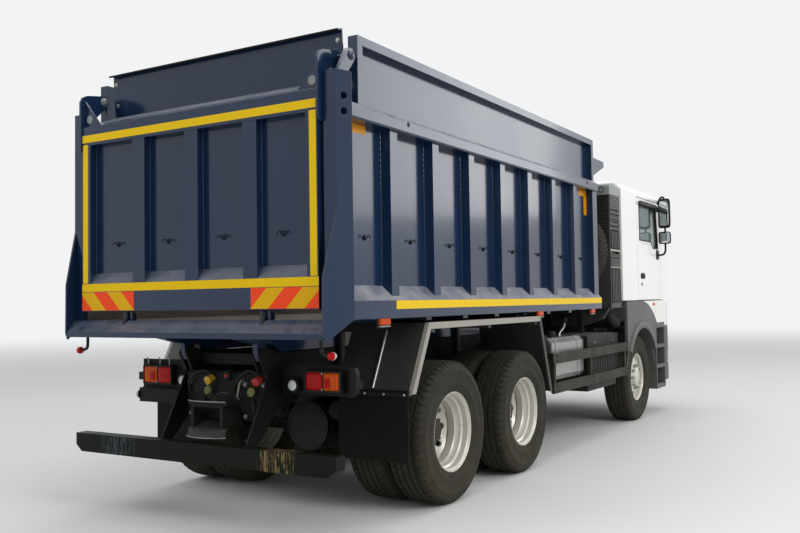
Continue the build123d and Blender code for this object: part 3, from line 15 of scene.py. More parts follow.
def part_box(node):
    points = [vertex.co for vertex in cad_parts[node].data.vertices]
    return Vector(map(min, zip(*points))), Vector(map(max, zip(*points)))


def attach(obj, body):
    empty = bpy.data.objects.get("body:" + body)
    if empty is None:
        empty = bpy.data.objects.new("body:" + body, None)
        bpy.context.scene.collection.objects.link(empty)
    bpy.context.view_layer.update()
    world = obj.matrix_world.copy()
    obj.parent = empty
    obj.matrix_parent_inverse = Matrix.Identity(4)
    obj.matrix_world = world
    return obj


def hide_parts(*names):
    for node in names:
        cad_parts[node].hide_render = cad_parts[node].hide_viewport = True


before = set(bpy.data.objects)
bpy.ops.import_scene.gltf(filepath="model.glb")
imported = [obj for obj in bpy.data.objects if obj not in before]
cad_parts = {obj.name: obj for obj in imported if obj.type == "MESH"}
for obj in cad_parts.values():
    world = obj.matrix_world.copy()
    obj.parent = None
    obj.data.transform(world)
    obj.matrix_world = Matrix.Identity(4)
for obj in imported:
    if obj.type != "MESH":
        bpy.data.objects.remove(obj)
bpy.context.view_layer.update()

hub_low, hub_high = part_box("rear_tyres_left")
AXLE_X = (hub_low.x + hub_high.x) / 2
print("rearmost axle at", round(AXLE_X, 4), "m, nodes", len(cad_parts))

# %% [markdown]
# ## Colours and nodes
#
# Paint colours are written as the hex codes that a colour chart gives. Blender's shader sockets want
# linear light, so one function turns them. Another adds a shader node with its settings and links. The
# last two find the parts of a finished material and lay a second finish over it.

# %% Colour and node helpers


def linear(code):
    """Each sRGB channel c in 0..1 becomes c/12.92 below 0.04045, else ((c + 0.055)/1.055)^2.4."""
    c = np.array([int(code[i : i + 2], 16) for i in (1, 3, 5)]) / 255
    return (*np.where(c <= 0.04045, c / 12.92, ((c + 0.055) / 1.055) ** 2.4), 1.0)


def add(tree, kind, sockets=None, **settings):
    """Adds a node. Sockets are given by name or number: a (node, output) pair is linked, else it is a value."""
    made = tree.nodes.new(kind)
    for key, value in settings.items():
        setattr(made, key, value)
    for key, value in (sockets or {}).items():
        socket = made.inputs[key]
        if isinstance(value, tuple) and len(value) == 2 and isinstance(value[0], bpy.types.Node):
            tree.links.new(value[0].outputs[value[1]], socket)
        else:
            socket.default_value = value
    return made


def blank(name, sockets=None):
    """A material with its Object coordinates and a Principled shader, some of whose sockets may be set."""
    made = bpy.data.materials.new(name)
    made.use_nodes = True
    tree = made.node_tree
    tree.nodes.clear()
    place = add(tree, "ShaderNodeTexCoord")
    shader = add(tree, "ShaderNodeBsdfPrincipled", sockets)
    add(tree, "ShaderNodeOutputMaterial", {"Surface": (shader, "BSDF")})
    return made, tree, place, shader


def parts(material):
    """The node tree of a finished material, its coordinates and its Principled shader."""
    tree = material.node_tree
    by_type = {node.type: node for node in tree.nodes}
    return tree, by_type["TEX_COORD"], by_type["BSDF_PRINCIPLED"]


def lay_over(tree, shader, share, colour, rough=None):
    """Mixes a colour, and a roughness if one is given, over what the shader has: old + (new - old) * share."""
    rows = (("Base Color", "RGBA", 6, colour, 2), ("Roughness", "FLOAT", 2, rough, 0))
    for name, kind, first, new, out in rows:
        if new is None:
            continue
        link = shader.inputs[name].links[0]
        old = (link.from_node, list(link.from_node.outputs).index(link.from_socket))
        mix = add(tree, "ShaderNodeMix", {"Factor": share, first: old, first + 1: new}, data_type=kind)
        tree.links.new(mix.outputs[out], shader.inputs[name])


# %% [markdown]
# ## A recipe for worn surfaces
#
# Most of the truck is sprayed, moulded or rolled stuff that differs in colour, gloss, grain and dirt.
# One recipe covers them: two shades mixed by a slow cloud, gloss varied by the same cloud, a fine grain
# as bump, small rounded edges from the Bevel node, and road dust that thins out with height.

# %% The recipe


def worn(name, shades, gloss, grain_mm=6.0, bump_mm=0.2, cloud_mm=700.0, metal=0.0, coat=0.0,
         dust=0.0, dust_top=1.6, edge_mm=3.0, dust_shade="#8b8474", stretch=(1, 1, 1), shine=0.5):
    """Builds a worn surface. Sizes are in millimetres, dust is its share at the ground, and shine is the
    level of the mirror-like part: 0.5 for a clean surface, less for one matted by weather."""
    made, tree, place, shader = blank(name, {"Metallic": metal, "Coat Weight": coat, "Coat Roughness": 0.08,
                                             "Specular IOR Level": shine})
    where = add(tree, "ShaderNodeMapping", {"Vector": (place, "Object"), "Scale": stretch})
    cloud = add(tree, "ShaderNodeTexNoise", {"Vector": (where, 0), "Scale": 1000 / cloud_mm, "Detail": 5.0})
    grain = add(tree, "ShaderNodeTexNoise", {"Vector": (where, 0), "Scale": 1000 / grain_mm, "Detail": 2.0})
    base = add(tree, "ShaderNodeMix", {"Factor": (cloud, "Fac"), 6: linear(shades[0]), 7: linear(shades[1])},
               data_type="RGBA")
    low, high = gloss
    rough = add(tree, "ShaderNodeMapRange",
                {"Value": (cloud, "Fac"), "From Min": 0.3, "From Max": 0.7, "To Min": low, "To Max": high})
    colour, roughness = (base, 2), (rough, 0)
    if dust:
        split = add(tree, "ShaderNodeSeparateXYZ", {"Vector": (place, "Object")})
        fade = add(tree, "ShaderNodeMapRange",
                   {"Value": (split, "Z"), "From Max": dust_top, "To Min": dust, "To Max": 0.0})
        speck = add(tree, "ShaderNodeTexNoise", {"Vector": (place, "Object"), "Scale": 9.0, "Detail": 8.0,
                                                 "Roughness": 0.65})
        clump = add(tree, "ShaderNodeMapRange",
                    {"Value": (speck, "Fac"), "From Min": 0.35, "From Max": 0.7, "To Min": 0.25, "To Max": 1.3})
        share = add(tree, "ShaderNodeMath", {0: (fade, 0), 1: (clump, 0)}, operation="MULTIPLY", use_clamp=True)
        dirt = add(tree, "ShaderNodeMix", {"Factor": (share, 0), 6: colour, 7: linear(dust_shade)},
                   data_type="RGBA")
        dull = add(tree, "ShaderNodeMapRange", {"Value": (share, 0), "To Min": 0.0, "To Max": 0.45})
        total = add(tree, "ShaderNodeMath", {0: roughness, 1: (dull, 0)}, operation="ADD", use_clamp=True)
        colour, roughness = (dirt, 2), (total, 0)
    tree.links.new(colour[0].outputs[colour[1]], shader.inputs["Base Color"])
    tree.links.new(roughness[0].outputs[roughness[1]], shader.inputs["Roughness"])
    rounded = add(tree, "ShaderNodeBevel", {"Radius": edge_mm / 1000}, samples=4)
    bump = add(tree, "ShaderNodeBump", {"Strength": 0.6, "Distance": bump_mm / 1000, "Height": (grain, "Fac"),
                                        "Normal": (rounded, 0)})
    tree.links.new(bump.outputs[0], shader.inputs["Normal"])
    return made


# %% [markdown]
# ## Paints
#
# The tipping body is sprayed in dark navy enamel over rolled plate. The cab is white two-pack enamel, and
# frame, axles and guards get a thick chassis paint that road dust clings to. One flat colour would look
# like a toy, so each paint has two shades, a gloss that wanders and a grain of its own size.

# %% Paints
# sprayed enamel on rolled plate: deep colour, slow waves in the gloss, a little orange peel
navy = worn("navy_enamel_on_plate", ("#0d1f38", "#152c4a"), (0.14, 0.26), 3.0, 0.05, 1600.0, coat=0.3,
            dust=0.02, dust_top=2.0, shine=0.3)
# baked two-pack enamel: smooth and glossy, with dust only low down
white = worn("white_cab_enamel", ("#eae9e4", "#f3f2ee"), (0.18, 0.26), 3.0, 0.03, 1500.0, coat=0.5,
             dust=0.05, dust_top=2.1)
# brushed chassis paint: nearly matt and grainy
black_paint = worn("black_chassis_paint", ("#0e0f0e", "#1a1a19"), (0.42, 0.62), 5.0, 0.3, 300.0,
                   dust=0.05, dust_top=1.4, shine=0.16)
# the same paint bleached olive by sun and mud on the guards, darker and greener on the bar
guard_green = worn("faded_black_green_paint", ("#1e1f16", "#2b2a1e"), (0.42, 0.66), 5.0, 0.3, 240.0,
                   dust=0.06, dust_top=1.2, shine=0.18)
bar_green = worn("scuffed_bar_paint", ("#080c07", "#0f150d"), (0.4, 0.6), 5.0, 0.3, 240.0, shine=0.12)
# silver enamel with fine flakes, brown with brake dust low down
silver = worn("silver_wheel_enamel", ("#c4c2b8", "#d8d6cc"), (0.24, 0.38), 3.0, 0.08, 240.0, metal=0.3,
              dust=0.1, dust_top=1.2, dust_shade="#8a7e66", edge_mm=1.5)
# the two colour codes of a trailer's air lines
red_paint = worn("red_coupling_paint", ("#a3201c", "#b92c24"), (0.35, 0.5), 3.0, 0.1, 60.0)
yellow_paint = worn("yellow_coupling_paint", ("#c79a1c", "#d8ad2c"), (0.35, 0.5), 3.0, 0.1, 60.0)
print("paints:", len(bpy.data.materials))

# %% [markdown]
# ## Plastics, rubber and cloth
#
# Moulded parts carry the leather grain of their mould, about a millimetre across, which breaks up the
# highlight. Rubber is duller still and takes on the colour of the road. The seats are woven cloth.

# %% Plastics, rubber and cloth
# rotation-moulded polyethylene: soft sheen, grained
black_plastic = worn("moulded_black_polyethylene", ("#121312", "#1e1f1d"), (0.5, 0.66), 1.2, 0.25, 400.0,
                     dust=0.07, dust_top=1.5, shine=0.25)
# the same stock on outside covers, greyed by weather
weathered_plastic = worn("weathered_black_polyethylene", ("#2a2c29", "#383a35"), (0.42, 0.58), 1.2, 0.25, 400.0,
                         dust=0.07, dust_top=1.5, shine=0.4)
# grey polypropylene of the bumper, and the smoother mudguard flares
grey_plastic = worn("moulded_grey_polypropylene", ("#474a4a", "#555653"), (0.48, 0.62), 1.2, 0.22, 500.0,
                    dust=0.12, dust_top=1.5, shine=0.4)
flare_grey = worn("moulded_grey_flare", ("#474a4a", "#555653"), (0.4, 0.55), 1.2, 0.15, 500.0,
                  dust=0.1, dust_top=1.4, shine=0.4)
# sun-bleached nylon caps
cap_olive = worn("faded_olive_plastic", ("#6a6a3c", "#7b7a48"), (0.5, 0.7), 1.5, 0.2, 60.0, shine=0.35)
cap_grey = worn("sun_bleached_grey_plastic", ("#7d807f", "#8c8e8d"), (0.45, 0.6), 1.2, 0.2, 300.0)
# light rubber strip pressed on an edge
edge_grey = worn("light_grey_edge_strip", ("#8b877e", "#9b978d"), (0.4, 0.52), 2.0, 0.1, 400.0,
                 dust=0.1, dust_top=1.6)
# vulcanised rubber: no gloss, brown with road dust
rubber = worn("vulcanised_tyre_rubber", ("#1c1b17", "#2a2820"), (0.72, 0.9), 4.0, 0.35, 180.0,
              dust=0.2, dust_top=1.3, dust_shade="#6b6450", edge_mm=1.5, shine=0.25)
flap_rubber = worn("ribbed_flap_rubber", ("#0d0e0c", "#171815"), (0.62, 0.8), 3.0, 0.3, 200.0,
                   dust=0.03, dust_top=1.1, shine=0.1)
# woven cloth: no shine, threads of 1.6 mm
seat_cloth = worn("woven_seat_fabric", ("#2f3236", "#3b3e43"), (0.85, 0.95), 1.6, 0.5, 200.0, edge_mm=2.0)
dash_vinyl = worn("grained_dashboard_vinyl", ("#2c2d2f", "#37383a"), (0.55, 0.66), 1.4, 0.2, 300.0)
print("with plastics and rubber:", len(bpy.data.materials))

# %% [markdown]
# ## Metals
#
# Few surfaces are bare: the tank and the covers are brushed aluminium, small fasteners are zinc plated,
# the hoist's stages are hard chrome, and axles and brakes are rough castings under paint and dirt.

# %% Metals
# sand castings: coarse skin, little shine
cast = worn("sand_cast_iron", ("#1c1d1c", "#2b2a27"), (0.55, 0.75), 2.5, 0.6, 160.0, metal=0.3,
            dust=0.1, dust_top=1.4)
worn_edge = worn("rubbed_bare_casting", ("#6e7274", "#8b8e8f"), (0.3, 0.5), 4.0, 0.2, 40.0, metal=0.8)
# cast hub with surface rust
dark_hub = worn("rusty_dark_hub", ("#1f1c19", "#382b20"), (0.6, 0.8), 3.0, 0.5, 70.0, metal=0.2,
                dust=0.14, dust_top=1.0)
# rolled sheet brushed along its length: the stretch draws the grain out along X
aluminium = worn("brushed_aluminium_sheet", ("#8f918f", "#b4b6b4"), (0.26, 0.46), 1.5, 0.08, 160.0, metal=0.9,
                 dust=0.45, dust_top=1.4, stretch=(0.08, 1, 1))
# zinc plating: pale spangle of about 60 mm
galvanised = worn("zinc_plated_steel", ("#8d8f8e", "#b2b3b0"), (0.3, 0.5), 4.0, 0.1, 60.0, metal=0.9,
                  edge_mm=1.0)
# ground and plated rod: close to a mirror
chrome = worn("hard_chrome_rod", ("#c9cbcd", "#d6d8d9"), (0.08, 0.16), 6.0, 0.01, 500.0, metal=1.0, edge_mm=1.0)
print("with metals:", len(bpy.data.materials))

# %% [markdown]
# ## Where loads have scoured the paint, and dust and a painted sheen lie on the ledges
#
# Gravel that slides out takes the paint off the inside of the body and leaves long streaks of steel and
# thin rust. The plates are one piece with their outside, so the finish changes by place: inside a box
# that just takes in the inner faces, a second pair of shades is laid over the enamel. Outside, the sloped
# ledges that look up get a pale, dull layer, partly road dust and partly a painted sheen of the sky.

# %% Scoured inside, dust and painted sheen on the ledges


def scoured(material, low, high, shades, rough):
    """Share = [every |p - middle| / half is below 1] times a streaky noise, with p in metres. It fades out
    between 2.3 and 2.8 m of height, where a heap of gravel ends."""
    tree, place, shader = parts(material)
    middle, half = (np.array(high) + low) / 2, (np.array(high) - low) / 2
    away = add(tree, "ShaderNodeVectorMath", {0: (place, "Object"), 1: tuple(middle)}, operation="SUBTRACT")
    size = add(tree, "ShaderNodeVectorMath", {0: (away, 0)}, operation="ABSOLUTE")
    part = add(tree, "ShaderNodeVectorMath", {0: (size, 0), 1: tuple(half)}, operation="DIVIDE")
    split = add(tree, "ShaderNodeSeparateXYZ", {"Vector": (part, 0)})
    most = add(tree, "ShaderNodeMath", {0: (split, "X"), 1: (split, "Y")}, operation="MAXIMUM")
    most = add(tree, "ShaderNodeMath", {0: (most, 0), 1: (split, "Z")}, operation="MAXIMUM")
    inside = add(tree, "ShaderNodeMath", {0: (most, 0), 1: 1.0}, operation="LESS_THAN")
    along = add(tree, "ShaderNodeMapping", {"Vector": (place, "Object"), "Scale": (0.3, 5.0, 5.0)})
    streak = add(tree, "ShaderNodeTexNoise", {"Vector": (along, 0), "Scale": 3.0, "Detail": 8.0,
                                              "Roughness": 0.6})
    bare = add(tree, "ShaderNodeMapRange",
               {"Value": (streak, "Fac"), "From Min": 0.36, "From Max": 0.5, "To Min": 0.35})
    height = add(tree, "ShaderNodeSeparateXYZ", {"Vector": (place, "Object")})
    fade = add(tree, "ShaderNodeMapRange",
               {"Value": (height, "Z"), "From Min": 2.3, "From Max": 2.8, "To Min": 1.0, "To Max": 0.0})
    inside = add(tree, "ShaderNodeMath", {0: (inside, 0), 1: (fade, 0)}, operation="MULTIPLY")
    share = add(tree, "ShaderNodeMath", {0: (inside, 0), 1: (bare, 0)}, operation="MULTIPLY", use_clamp=True)
    steel = add(tree, "ShaderNodeMix", {"Factor": (streak, "Fac"), 6: linear(shades[0]), 7: linear(shades[1])},
                data_type="RGBA")
    lay_over(tree, shader, (share, 0), (steel, 2), rough)


def dust_and_sky_sheen(material, shade, most):
    """Lays a pale layer on faces that look up, partly dust and partly a painted sheen of the sky:
    share = most x map(height of the normal, 0.35 to 0.6) x a streaky noise, and a third of that at the rear
    end. The layer is dull as well as pale."""
    tree, place, shader = parts(material)
    facing = add(tree, "ShaderNodeSeparateXYZ", {"Vector": (place, "Normal")})
    up = add(tree, "ShaderNodeMapRange",
             {"Value": (facing, "Z"), "From Min": 0.35, "From Max": 0.6, "To Min": 0.0, "To Max": most})
    patch = add(tree, "ShaderNodeTexNoise", {"Vector": (place, "Object"), "Scale": 6.0, "Detail": 8.0,
                                             "Roughness": 0.7})
    clump = add(tree, "ShaderNodeMapRange",
                {"Value": (patch, "Fac"), "From Min": 0.35, "From Max": 0.6, "To Min": 0.4, "To Max": 1.0})
    along = add(tree, "ShaderNodeSeparateXYZ", {"Vector": (place, "Object")})
    kept = add(tree, "ShaderNodeMapRange",
               {"Value": (along, "X"), "From Min": AXLE_X - 1.42, "From Max": AXLE_X - 1.36, "To Min": 0.3,
                "To Max": 1.0})
    lying = add(tree, "ShaderNodeMath", {0: (up, 0), 1: (kept, 0)}, operation="MULTIPLY")
    share = add(tree, "ShaderNodeMath", {0: (lying, 0), 1: (clump, 0)}, operation="MULTIPLY", use_clamp=True)
    lay_over(tree, shader, (share, 0), linear(shade), 0.8)


# dust and painted sky sheen first, so that they lie on the gate and on the body alike
dust_and_sky_sheen(navy, "#a3a3aa", 0.7)
body_navy = navy.copy()
body_navy.name = "navy_enamel_scoured_inside"
STEEL = ("#43403c", "#77695b")
scoured(body_navy, (AXLE_X - 1.4405, -1.1555, 1.4195), (AXLE_X + 3.4645, 1.1555, 3.3), STEEL, 0.55)
# of the gate only the inner sheet, because the spill plate above it stays clean
scoured(navy, (AXLE_X - 1.4405, -1.1, 1.5), (AXLE_X - 1.43, 1.1, 2.87), STEEL, 0.55)
print("nodes in the body's enamel:", len(body_navy.node_tree.nodes))

# %% [markdown]
# ## Lenses, glass and reflective tape
#
# A lamp's lens is clear plastic dyed right through, with fine vertical flutes inside. From outside it
# reads as a deep, glossy colour, so a coated plastic with fluted bump does it without slow refraction. The
# red and amber lenses also get a faint painted glow for the light that their reflectors send back.
# Reflective tape has a honeycomb of sealed cells, and the marker boards have slanted stripes.

# %% Lamps, glass, tape


def lens(name, shades, flute_mm=9.0, painted_glow=0.0):
    """Dyed plastic: two shades in bands across Y, the flutes' bump at the same spacing. A painted glow,
    if given, emits the same shades.
    """
    made, tree, place, shader = blank(name, {"Roughness": 0.22, "Specular IOR Level": 0.15, "Coat Weight": 0.06,
                                             "Coat Roughness": 0.04})
    wave = add(tree, "ShaderNodeTexWave", {"Vector": (place, "Object"), "Scale": 1000 / flute_mm / 6.283},
               bands_direction="Y")
    mix = add(tree, "ShaderNodeMix", {"Factor": (wave, "Fac"), 6: linear(shades[0]), 7: linear(shades[1])},
              data_type="RGBA")
    tree.links.new(mix.outputs[2], shader.inputs["Base Color"])
    bump = add(tree, "ShaderNodeBump", {"Strength": 0.5, "Distance": 0.001, "Height": (wave, "Fac")})
    tree.links.new(bump.outputs[0], shader.inputs["Normal"])
    if painted_glow:
        tree.links.new(mix.outputs[2], shader.inputs["Emission Color"])
        shader.inputs["Emission Strength"].default_value = painted_glow
    return made


def clear(name, shade, rough, weight):
    """Float glass: transmission with a tint, and a slow cloud in its roughness for a film of dust."""
    made, tree, place, shader = blank(name, {"Base Color": linear(shade), "Transmission Weight": weight,
                                             "IOR": 1.5})
    film = add(tree, "ShaderNodeTexNoise", {"Vector": (place, "Object"), "Scale": 2.0, "Detail": 4.0})
    spread = add(tree, "ShaderNodeMapRange", {"Value": (film, "Fac"), "To Min": rough, "To Max": rough + 0.08})
    tree.links.new(spread.outputs[0], shader.inputs["Roughness"])
    return made


# a matt printed or reflective film
FILM_SOCKETS = {"Roughness": 0.4, "Specular IOR Level": 0.15}


def tape(name, shades, cell_mm=9.0):
    """Retro-reflective film: a honeycomb of pale cell walls over the film's colour. Real cells are 3 mm
    wide, which is too fine to show, so they are drawn at 9 mm."""
    made, tree, place, shader = blank(name, FILM_SOCKETS)
    cells = add(tree, "ShaderNodeTexVoronoi", {"Vector": (place, "Object"), "Scale": 1000 / cell_mm,
                                               "Randomness": 0.0}, feature="DISTANCE_TO_EDGE")
    wall = add(tree, "ShaderNodeMapRange", {"Value": (cells, "Distance"), "From Min": 0.02, "From Max": 0.08})
    mix = add(tree, "ShaderNodeMix", {"Factor": (wall, 0), 6: linear(shades[1]), 7: linear(shades[0])},
              data_type="RGBA")
    tree.links.new(mix.outputs[2], shader.inputs["Base Color"])
    return made


def striped(name, first, second, period_mm, shift):
    """Board with slanted stripes: the sign of frac((|y| - z) / period + shift) - 1/2 picks the colour."""
    made, tree, place, shader = blank(name, FILM_SOCKETS)
    split = add(tree, "ShaderNodeSeparateXYZ", {"Vector": (place, "Object")})
    side = add(tree, "ShaderNodeMath", {0: (split, "Y")}, operation="ABSOLUTE")
    slant = add(tree, "ShaderNodeMath", {0: (side, 0), 1: (split, "Z")}, operation="SUBTRACT")
    turns = add(tree, "ShaderNodeMath", {0: (slant, 0), 1: 1000 / period_mm, 2: shift},
                operation="MULTIPLY_ADD")
    part = add(tree, "ShaderNodeMath", {0: (turns, 0)}, operation="FRACT")
    pick = add(tree, "ShaderNodeMath", {0: (part, 0), 1: 0.5}, operation="GREATER_THAN")
    mix = add(tree, "ShaderNodeMix", {"Factor": (pick, 0), 6: linear(first), 7: linear(second)},
              data_type="RGBA")
    tree.links.new(mix.outputs[2], shader.inputs["Base Color"])
    return made


# dyed acrylic with a faint painted glow in its own colour, which stands for light sent back by the reflectors
# behind it
red_lens = lens("dyed_red_acrylic", ("#8c0402", "#c00c05"), painted_glow=0.06)
amber_lens = lens("dyed_amber_acrylic", ("#b33c03", "#d65a06"), painted_glow=0.06)
white_lens = lens("clear_fluted_acrylic", ("#c9cccb", "#eef0ef"), 7.0)
window = clear("tinted_float_glass", "#9fb0ac", 0.02, 0.85)
lamp_cover = clear("clear_polycarbonate_cover", "#eef1f1", 0.01, 0.97)
mirror_glass = worn("silvered_mirror_glass", ("#c3c8ca", "#ccd1d3"), (0.03, 0.05), 9.0, 0.0, 900.0, metal=1.0)
yellow_tape = tape("yellow_reflective_film", ("#e4bb00", "#edca12"))
orange_tape = tape("orange_reflective_film", ("#d68c0a", "#e39c1c"))
board_stripes = striped("red_and_ochre_board", "#f04a20", "#dba90c", 296.0, 0.703)
print("lenses, glass and tape ready:", len(bpy.data.materials))

# %% [markdown]
# ## Making meshes
#
# Every new piece is a surface worked out as whole arrays. A piece is one or more chunks, each a list of
# points and the faces between them. Points are in the truck's own millimetres and become metres only
# when the mesh is made. Normals are recalculated once doubles are merged, so that faces look outwards.
# Each finish is listed with a slot of the part, and a piece may name another slot, but the slot is only looked
# up and not set on the mesh.

# %% Slots and directions
SLOTS = {
    navy: "body_paint", yellow_tape: "body_paint", orange_tape: "body_paint", white: "cab_paint",
    black_paint: "chassis_paint", galvanised: "chassis_paint", red_paint: "chassis_paint",
    yellow_paint: "chassis_paint", guard_green: "guard_paint", black_plastic: "black_plastic",
    weathered_plastic: "black_plastic", cap_olive: "black_plastic", dash_vinyl: "black_plastic",
    grey_plastic: "grey_plastic", flare_grey: "grey_plastic", cap_grey: "grey_plastic",
    edge_grey: "grey_plastic", rubber: "tyre_rubber", flap_rubber: "flap_rubber", seat_cloth: "seat_fabric",
    silver: "wheel_silver", dark_hub: "wheel_silver", cast: "cast_metal", worn_edge: "cast_metal",
    aluminium: "bare_aluminium", chrome: "bright_chrome", mirror_glass: "bright_chrome",
    red_lens: "red_lens", board_stripes: "red_lens", amber_lens: "amber_lens", white_lens: "lamp_glass",
    lamp_cover: "window_glass",
}
AHEAD, REAR, LEFT, RIGHT, UP = (1, 0, 0), (-1, 0, 0), (0, 1, 0), (0, -1, 0), (0, 0, 1)
SIDES = (("left", 1), ("right", -1))
print("finishes with a slot:", len(SLOTS))

# %% Mesh helpers


def piece(name, chunks, material, body="chassis", slot=None, smooth=35.0, bevel=0.0, stands_for=()):
    """Joins chunks into one object in metres, gives it its material and lets it ride on its body."""
    points, faces, start = [], [], 0
    for chunk_points, chunk_faces in chunks:
        points.append(np.asarray(chunk_points, float).reshape(-1, 3))
        faces += [[int(i) + start for i in face] for face in chunk_faces]
        start += len(points[-1])
    where = np.concatenate(points) / 1000 + np.array([AXLE_X, 0, 0])
    mesh = bpy.data.meshes.new(name)
    mesh.from_pydata(where.tolist(), [], faces)
    work = bmesh.new()
    work.from_mesh(mesh)
    bmesh.ops.remove_doubles(work, verts=work.verts, dist=1e-5)
    bmesh.ops.recalc_face_normals(work, faces=work.faces)
    work.to_mesh(mesh)
    work.free()
    mesh.materials.append(material)
    mesh.shade_smooth()
    mesh.set_sharp_from_angle(angle=np.radians(smooth))
    made = bpy.data.objects.new(name, mesh)
    bpy.context.scene.collection.objects.link(made)
    if bevel:
        rounding = made.modifiers.new("rounded_edges", "BEVEL")
        rounding.width = bevel / 1000
        rounding.segments = 2
        rounding.limit_method = "ANGLE"
    slot = slot or SLOTS[material]
    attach(made, body)
    if stands_for:
        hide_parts(*stands_for)
    return made


def sheet_faces(points, close_u=False, close_v=False):
    """Quads over a grid of points[u, v], closed round either way if asked."""
    points = np.asarray(points, float)
    index = np.arange(points.shape[0] * points.shape[1]).reshape(points.shape[:2])
    if close_u:
        index = np.concatenate([index, index[:1]], 0)
    if close_v:
        index = np.concatenate([index, index[:, :1]], 1)
    quads = np.stack([index[:-1, :-1], index[1:, :-1], index[1:, 1:], index[:-1, 1:]], -1)
    return points.reshape(-1, 3), quads.reshape(-1, 4).tolist()


def boxes(rows):
    """Boxes from rows of x0, x1, y0, y1, z0, z1: corner = low + (high - low) * corner of a unit cube."""
    rows = np.asarray(rows, float).reshape(-1, 3, 2)
    low, high = rows.min(2), rows.max(2)
    unit = np.array([[i & 1, i >> 1 & 1, i >> 2 & 1] for i in range(8)], float)
    points = low[:, None] + (high - low)[:, None] * unit
    face = np.array([[0, 2, 3, 1], [4, 5, 7, 6], [0, 1, 5, 4], [2, 6, 7, 3], [0, 4, 6, 2], [1, 3, 7, 5]])
    faces = face[None] + 8 * np.arange(len(rows))[:, None, None]
    return points.reshape(-1, 3), faces.reshape(-1, 4).tolist()


def across(direction):
    """A direction's unit vector and two more that are square to it and to each other."""
    n = np.asarray(direction, float) / np.linalg.norm(direction)
    side = np.array([0, 0, 1.0]) if abs(n[2]) < 0.9 else np.array([1.0, 0, 0])
    u = np.cross(side, n)
    u /= np.linalg.norm(u)
    return n, u, np.cross(n, u)


def turned(profile, centre, direction, steps=48, start=0.0):
    """A lathe: point = centre + along * n + radius * (cos t * u + sin t * v) for each (radius, along)."""
    radius, along = np.asarray(profile, float).T
    n, u, v = across(direction)
    t = (np.arange(steps) / steps * 2 * np.pi + start)[:, None, None]
    ring = np.cos(t) * u + np.sin(t) * v
    points = np.asarray(centre, float) + along[None, :, None] * n + radius[None, :, None] * ring
    return sheet_faces(points, close_u=True)


def rods(pairs, radius, steps=16):
    """Round bars between pairs of points, closed at both ends."""
    chunks = []
    for a, b in pairs:
        length = float(np.linalg.norm(np.subtract(b, a)))
        chunks.append(turned([(0, 0), (radius, 0), (radius, length), (0, length)], a, np.subtract(b, a), steps))
    return chunks


def heads(centres, direction, across_flats=18.0, height=11.0):
    """Hexagon heads with a chamfered crown on a washer, looking along a direction."""
    r = across_flats / np.sqrt(3)
    nut = [(0, 0), (r, 0), (r, 0.8 * height), (0.82 * r, height), (0, height)]
    washer = [(0, -0.5), (1.35 * r, -0.5), (1.35 * r, 1.5), (0, 1.5)]
    chunks = [turned(nut, c, direction, 6) for c in centres]
    return chunks + [turned(washer, c, direction, 14) for c in centres]


def pipe(path, radius, steps=10, rounds=3, swell=0.0, pitch=20.0):
    """A bent tube: the path's corners are cut by Chaikin's rule, then rings stand square to the path.
    With a swell its radius follows r + swell sin(2 pi s / pitch) along the length s."""
    path = np.asarray(path, float)
    for _ in range(rounds):
        near, far = 0.75 * path[:-1] + 0.25 * path[1:], 0.25 * path[:-1] + 0.75 * path[1:]
        path = np.concatenate([path[:1], np.stack([near, far], 1).reshape(-1, 3), path[-1:]])
    if swell:
        walked = np.r_[0, np.cumsum(np.linalg.norm(np.diff(path, axis=0), axis=1))]
        even = np.linspace(0, walked[-1], int(walked[-1] / pitch * 4) + 1)
        path = np.stack([np.interp(even, walked, path[:, i]) for i in range(3)], -1)
        radius = radius + swell * np.sin(2 * np.pi * even / pitch)
    along = np.gradient(path, axis=0)
    along /= np.linalg.norm(along, axis=1)[:, None]
    # a closed path has no mean direction, so a small vector is added to it
    u = across(along.mean(0) + np.array([0.013, 0.017, 0.011]))[1]
    side = u - along * (along @ u)[:, None]
    side /= np.linalg.norm(side, axis=1)[:, None]
    third = np.cross(along, side)
    t = np.arange(steps) / steps * 2 * np.pi
    ring = side[:, None] * np.cos(t)[None, :, None] + third[:, None] * np.sin(t)[None, :, None]
    points = path[:, None] + np.reshape(radius, (-1, 1, 1)) * ring
    ends = np.concatenate([np.repeat(path[:1, None], steps, 1), points, np.repeat(path[-1:, None], steps, 1)])
    return sheet_faces(ends, close_v=True)


def plate(outline, low, high, along):
    """A flat outline carried along an axis: (x, z) along Y, (y, z) along X, (x, y) along Z, with ends."""
    flat = np.asarray(outline, float)
    order = {"X": (2, 0, 1), "Y": (0, 2, 1), "Z": (0, 1, 2)}[along]
    n = len(flat)
    both = np.concatenate([np.c_[flat, np.full(n, low)], np.c_[flat, np.full(n, high)]])
    ring = [[i, (i + 1) % n, n + (i + 1) % n, n + i] for i in range(n)]
    return both[:, order], [*ring, list(range(n))[::-1], list(range(n, 2 * n))]


print("mesh helpers ready")

# %% [markdown]
# ## Tyres
#
# A truck tyre is moulded in one go: smooth sidewalls with rings and a raised band, and a tread of four
# zigzag grooves with notched shoulders. The whole tyre is one grid. Across it run the rows of the
# section, round it run the columns, and the tread is cut by lowering rows and columns into grooves.
# Rows stand in pairs at each groove's edge, so the walls are steep without a fine mesh.

# %% Tyre surface
TYRE_RADIUS = 538.0
WHEEL_Y = {"outer": 1102.0, "inner": 752.0, "front": 1035.0}
AXLES = {"rear": 0.0, "middle": 1350.0, "front": 5100.0}


